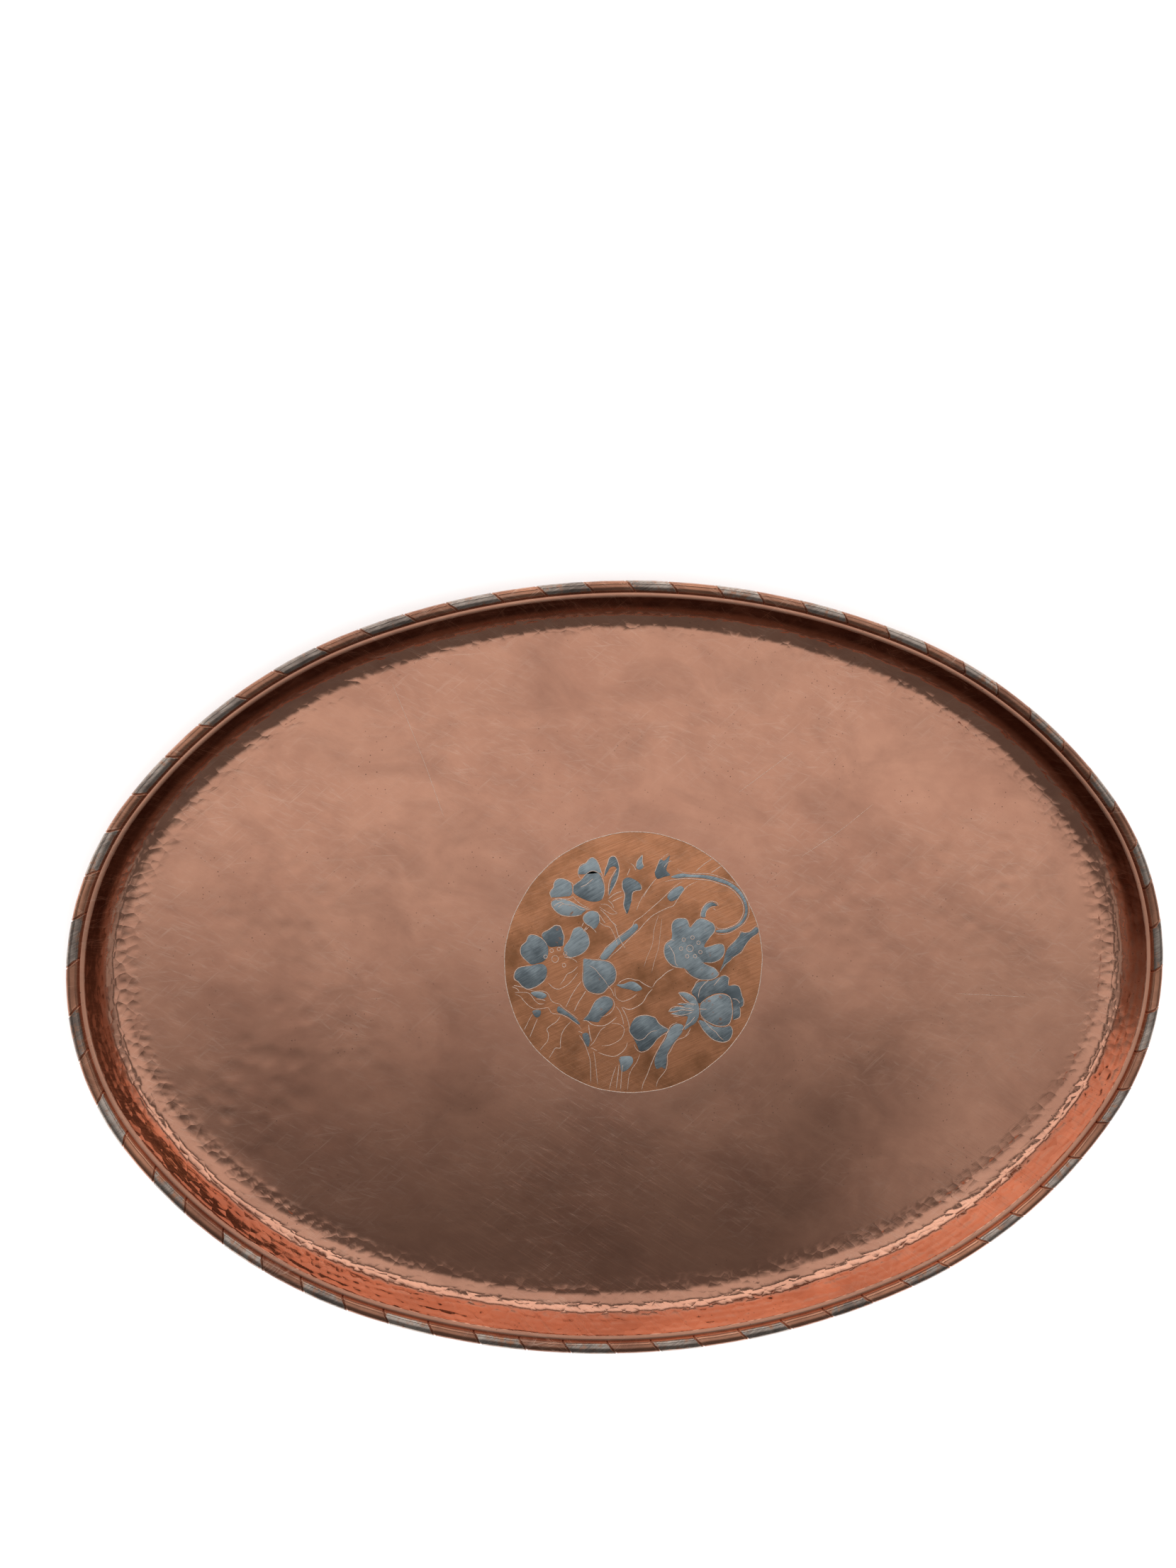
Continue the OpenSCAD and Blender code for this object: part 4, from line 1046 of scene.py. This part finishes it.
def build_drawing(finish):
    """Every line of the engraving, the ring and the flowers' eyes."""
    circle = np.linspace(0.0, 2.0 * math.pi, 16, endpoint=False)
    disc = np.stack([np.cos(circle), np.sin(circle)], axis=-1)
    rng = np.random.default_rng(9)
    parts = []
    for lines in LINES.values():
        for text in lines:
            parts.append(cut_line(smooth_line(spots_of(text), 5, False), rng.uniform(0.17, 0.27), False))
    for text in FAINT_LINES:
        parts.append(cut_line(smooth_line(spots_of(text), 5, False), 0.13, False))
    for text in LONG_SCRATCHES:
        parts.append(cut_line(smooth_line(spots_of(text), 40, False), 0.11, False))
    for reach, text in ((1.9, EYES), (1.0, DOTS)):
        for middle in spots_of(text):
            parts.append(cut_line(middle + disc * reach, 0.2, True))
    turn = np.linspace(0.0, 2.0 * math.pi, 360, endpoint=False)
    wander = RING_R + 0.12 * np.sin(9.0 * turn) + 0.08 * np.sin(23.0 * turn + 1.0)
    parts.append(cut_line(wander[:, None] * np.stack([np.cos(turn), np.sin(turn)], axis=-1), 0.28, True))
    points, faces = join_parts(parts)
    return make_piece("engraved_drawing", points, faces, finish)


def build_tin_patch(node, outlines, finish, seed):
    """One flower or leaf in tin: each outline as a thin plate whose edge rises in two soft steps
    to a flat top, closed underneath in the copper."""
    rng = np.random.default_rng(seed)
    points, faces, tones, wears, first = [], [], [], [], 0
    for text in outlines:
        line = smooth_line(spots_of(text), 5, True)
        area = np.sum(line[:, 0] * np.roll(line[:, 1], -1) - np.roll(line[:, 0], -1) * line[:, 1])
        if area < 0.0:
            line = line[::-1]
        inward = sideways(line, True)
        count = len(line)
        for shift, height in ((0.0, -0.3), (0.0, 0.0), (0.06, 0.045), (0.14, 0.06)):
            flat = line + inward * shift + MEDALLION
            points.append(np.concatenate([flat, np.full((count, 1), SHEET_T + height)], axis=-1))
        faces += grid_faces(4, count, first, wrap_columns=True).tolist()
        faces.append([first + 3 * count + k for k in range(count)])
        faces.append([first + k for k in range(count)][::-1])
        tones.append(np.full(4 * count, rng.uniform(-1.0, 1.0)))
        wears.append(np.full(4 * count, rng.uniform(-0.08, 0.04)))
        first += 4 * count
    values = {"tone": np.concatenate(tones), "wear": np.concatenate(wears)}
    return make_piece(
        node.replace("tin_", "tinned_"), np.concatenate(points), faces, finish, [node],
        values
    )


# ---------------------------------------------------------------------------------------------
# Studio: a pale floor and plain soft white light. The polished metal reflects three large soft
# boxes overhead, three broad upright panels, and an even dim level between them.
# ---------------------------------------------------------------------------------------------
CEILING_H = 1.5
SURROUND_R = 4.0
DIM_LEVEL = 0.16


def white_glow(name):
    """A white glow as bright as the grid's points say."""
    material = bpy.data.materials.new(name)
    material.use_nodes = True
    nodes, links = material.node_tree.nodes, material.node_tree.links
    nodes.clear()
    output, glow = nodes.new("ShaderNodeOutputMaterial"), nodes.new("ShaderNodeEmission")
    level = nodes.new("ShaderNodeAttribute")
    level.attribute_name = "level"
    links.new(level.outputs["Fac"], glow.inputs["Strength"])
    links.new(glow.outputs[0], output.inputs[0])
    return material


def build_floor():
    """A wide pale table top under the tray."""
    bpy.ops.mesh.primitive_plane_add(size=8.0)
    floor = bpy.context.object
    floor.name = "studio_floor"
    pale = bpy.data.materials.new("pale table")
    pale.use_nodes = True
    shader = pale.node_tree.nodes["Principled BSDF"]
    shader.inputs["Base Color"].default_value = (0.9, 0.9, 0.9, 1.0)
    shader.inputs["Roughness"].default_value = 0.9
    floor.data.materials.append(pale)


# Soft boxes overhead, in metres: the middle, half the width, half the depth, how soft the edge
# is, and how bright. One key over the far side and a pair of equal fills left and right.
SOFT_BOXES = [
    (0.0, 0.45, 1.40, 0.75, 0.45, 0.75),
    (-1.1, -0.2, 0.40, 0.50, 0.25, 0.50),
    (1.1, -0.2, 0.40, 0.50, 0.25, 0.50),
]
# Upright panels: the compass direction of the middle, half the spread and its softness, lowest
# and highest angle above the table and their softness, and how bright.
PANELS = [
    (90, 70, 20, 8, 60, 10, 1.30),
    (0, 35, 15, 8, 60, 10, 0.40),
    (180, 35, 15, 8, 60, 10, 0.40),
]


def build_overhead():
    """A level grid over the tray; each point takes the brightest soft box that covers it."""
    x, y = np.meshgrid(np.linspace(-2.4, 2.4, 161), np.linspace(-2.0, 2.0, 135))
    level = np.full(x.shape, DIM_LEVEL)
    for middle_x, middle_y, half_x, half_y, soft, bright in SOFT_BOXES:
        apart = np.maximum(np.abs(x - middle_x) - half_x, np.abs(y - middle_y) - half_y)
        share = 1.0 - smoothstep(-soft, soft, apart)
        level = np.maximum(level, DIM_LEVEL + share * (bright - DIM_LEVEL))
    glowing_card("soft_boxes", np.stack([x, y, np.full_like(x, CEILING_H)], axis=-1), level)


def build_panels():
    """The side of a large dome about the tray; each point takes the brightest panel there."""
    compass, rise = np.meshgrid(np.radians(np.arange(0, 361, 2.0)), np.radians(np.arange(0.3, 70, 2.0)))
    level = np.full(compass.shape, DIM_LEVEL)
    for middle, spread, soft, low, high, soft_rise, bright in PANELS:
        apart = np.abs((np.degrees(compass) - middle + 180.0) % 360.0 - 180.0) - spread
        above = np.maximum(low - np.degrees(rise), np.degrees(rise) - high)
        share = (1.0 - smoothstep(-soft, soft, apart)) * (1.0 - smoothstep(-soft_rise, soft_rise, above))
        level = np.maximum(level, DIM_LEVEL + share * (bright - DIM_LEVEL))
    reach = SURROUND_R * np.cos(rise)
    points = np.stack([reach * np.cos(compass), reach * np.sin(compass), SURROUND_R * np.sin(rise)], axis=-1)
    glowing_card("standing_panels", points, level)


def glowing_card(name, points, level):
    """A glowing white grid that only the metal reflects, its brightness given point by point."""
    mesh = bpy.data.meshes.new(name)
    mesh.from_pydata(points.reshape(-1, 3).tolist(), [], grid_faces(*points.shape[:2], flip=True).tolist())
    bright = mesh.attributes.new("level", "FLOAT", "POINT")
    bright.data.foreach_set("value", level.astype(np.float32).ravel())
    mesh.materials.append(white_glow(name))
    card = bpy.data.objects.new(name, mesh)
    bpy.context.scene.collection.objects.link(card)
    card.visible_camera = False
    card.visible_diffuse = False
    card.visible_shadow = False
    card.visible_transmission = False


def build_light():
    """An even pale surround lights the table; the metal sees an even dim level in its place."""
    world = bpy.data.worlds.new("studio")
    bpy.context.scene.world = world
    world.use_nodes = True
    nodes, links = world.node_tree.nodes, world.node_tree.links
    nodes.clear()
    output = nodes.new("ShaderNodeOutputWorld")
    pale, dim = nodes.new("ShaderNodeBackground"), nodes.new("ShaderNodeBackground")
    pale.inputs["Color"].default_value = (1.0, 1.0, 1.0, 1.0)
    pale.inputs["Strength"].default_value = 1.5
    dim.inputs["Color"].default_value = (1.0, 1.0, 1.0, 1.0)
    dim.inputs["Strength"].default_value = DIM_LEVEL
    path, share = nodes.new("ShaderNodeLightPath"), nodes.new("ShaderNodeMixShader")
    links.new(path.outputs["Is Glossy Ray"], share.inputs[0])
    links.new(pale.outputs[0], share.inputs[1])
    links.new(dim.outputs[0], share.inputs[2])
    links.new(share.outputs[0], output.inputs[0])


build_floor()
build_overhead()
build_panels()
build_light()

sheet_copper = copper_floor_finish()
bead_copper = copper_finish("polished bead copper", (0.56, 0.26, 0.16), (0.26, 0.12, 0.08), 0.14, 0.30)
rim_tin = tin_finish("wiped rim tin", (0.44, 0.22, 0.14, 1.0), (0.52, 0.43, 0.37), (0.22, 0.17, 0.145),
    0.48, 0.62, 0.20)
flower_tin = tin_finish(
    "wiped flower tin", (0.42, 0.20, 0.12, 1.0), (0.40, 0.46, 0.49), (0.15, 0.18, 0.20), 0.63, 0.71, 0.33
)

build_sheet(sheet_copper.material)
build_bead(bead_copper.material)
build_rim_tin(rim_tin.material)
build_drawing(engraving_finish().material)
for order, (node, outlines) in enumerate(TIN_PATCHES.items()):
    build_tin_patch(node, outlines, flower_tin.material, 100 + order)

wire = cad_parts["rim_wire"]
wire.data.materials.clear()
wire.data.materials.append(iron_finish().material)

bpy.context.scene.view_settings.view_transform = "Standard"
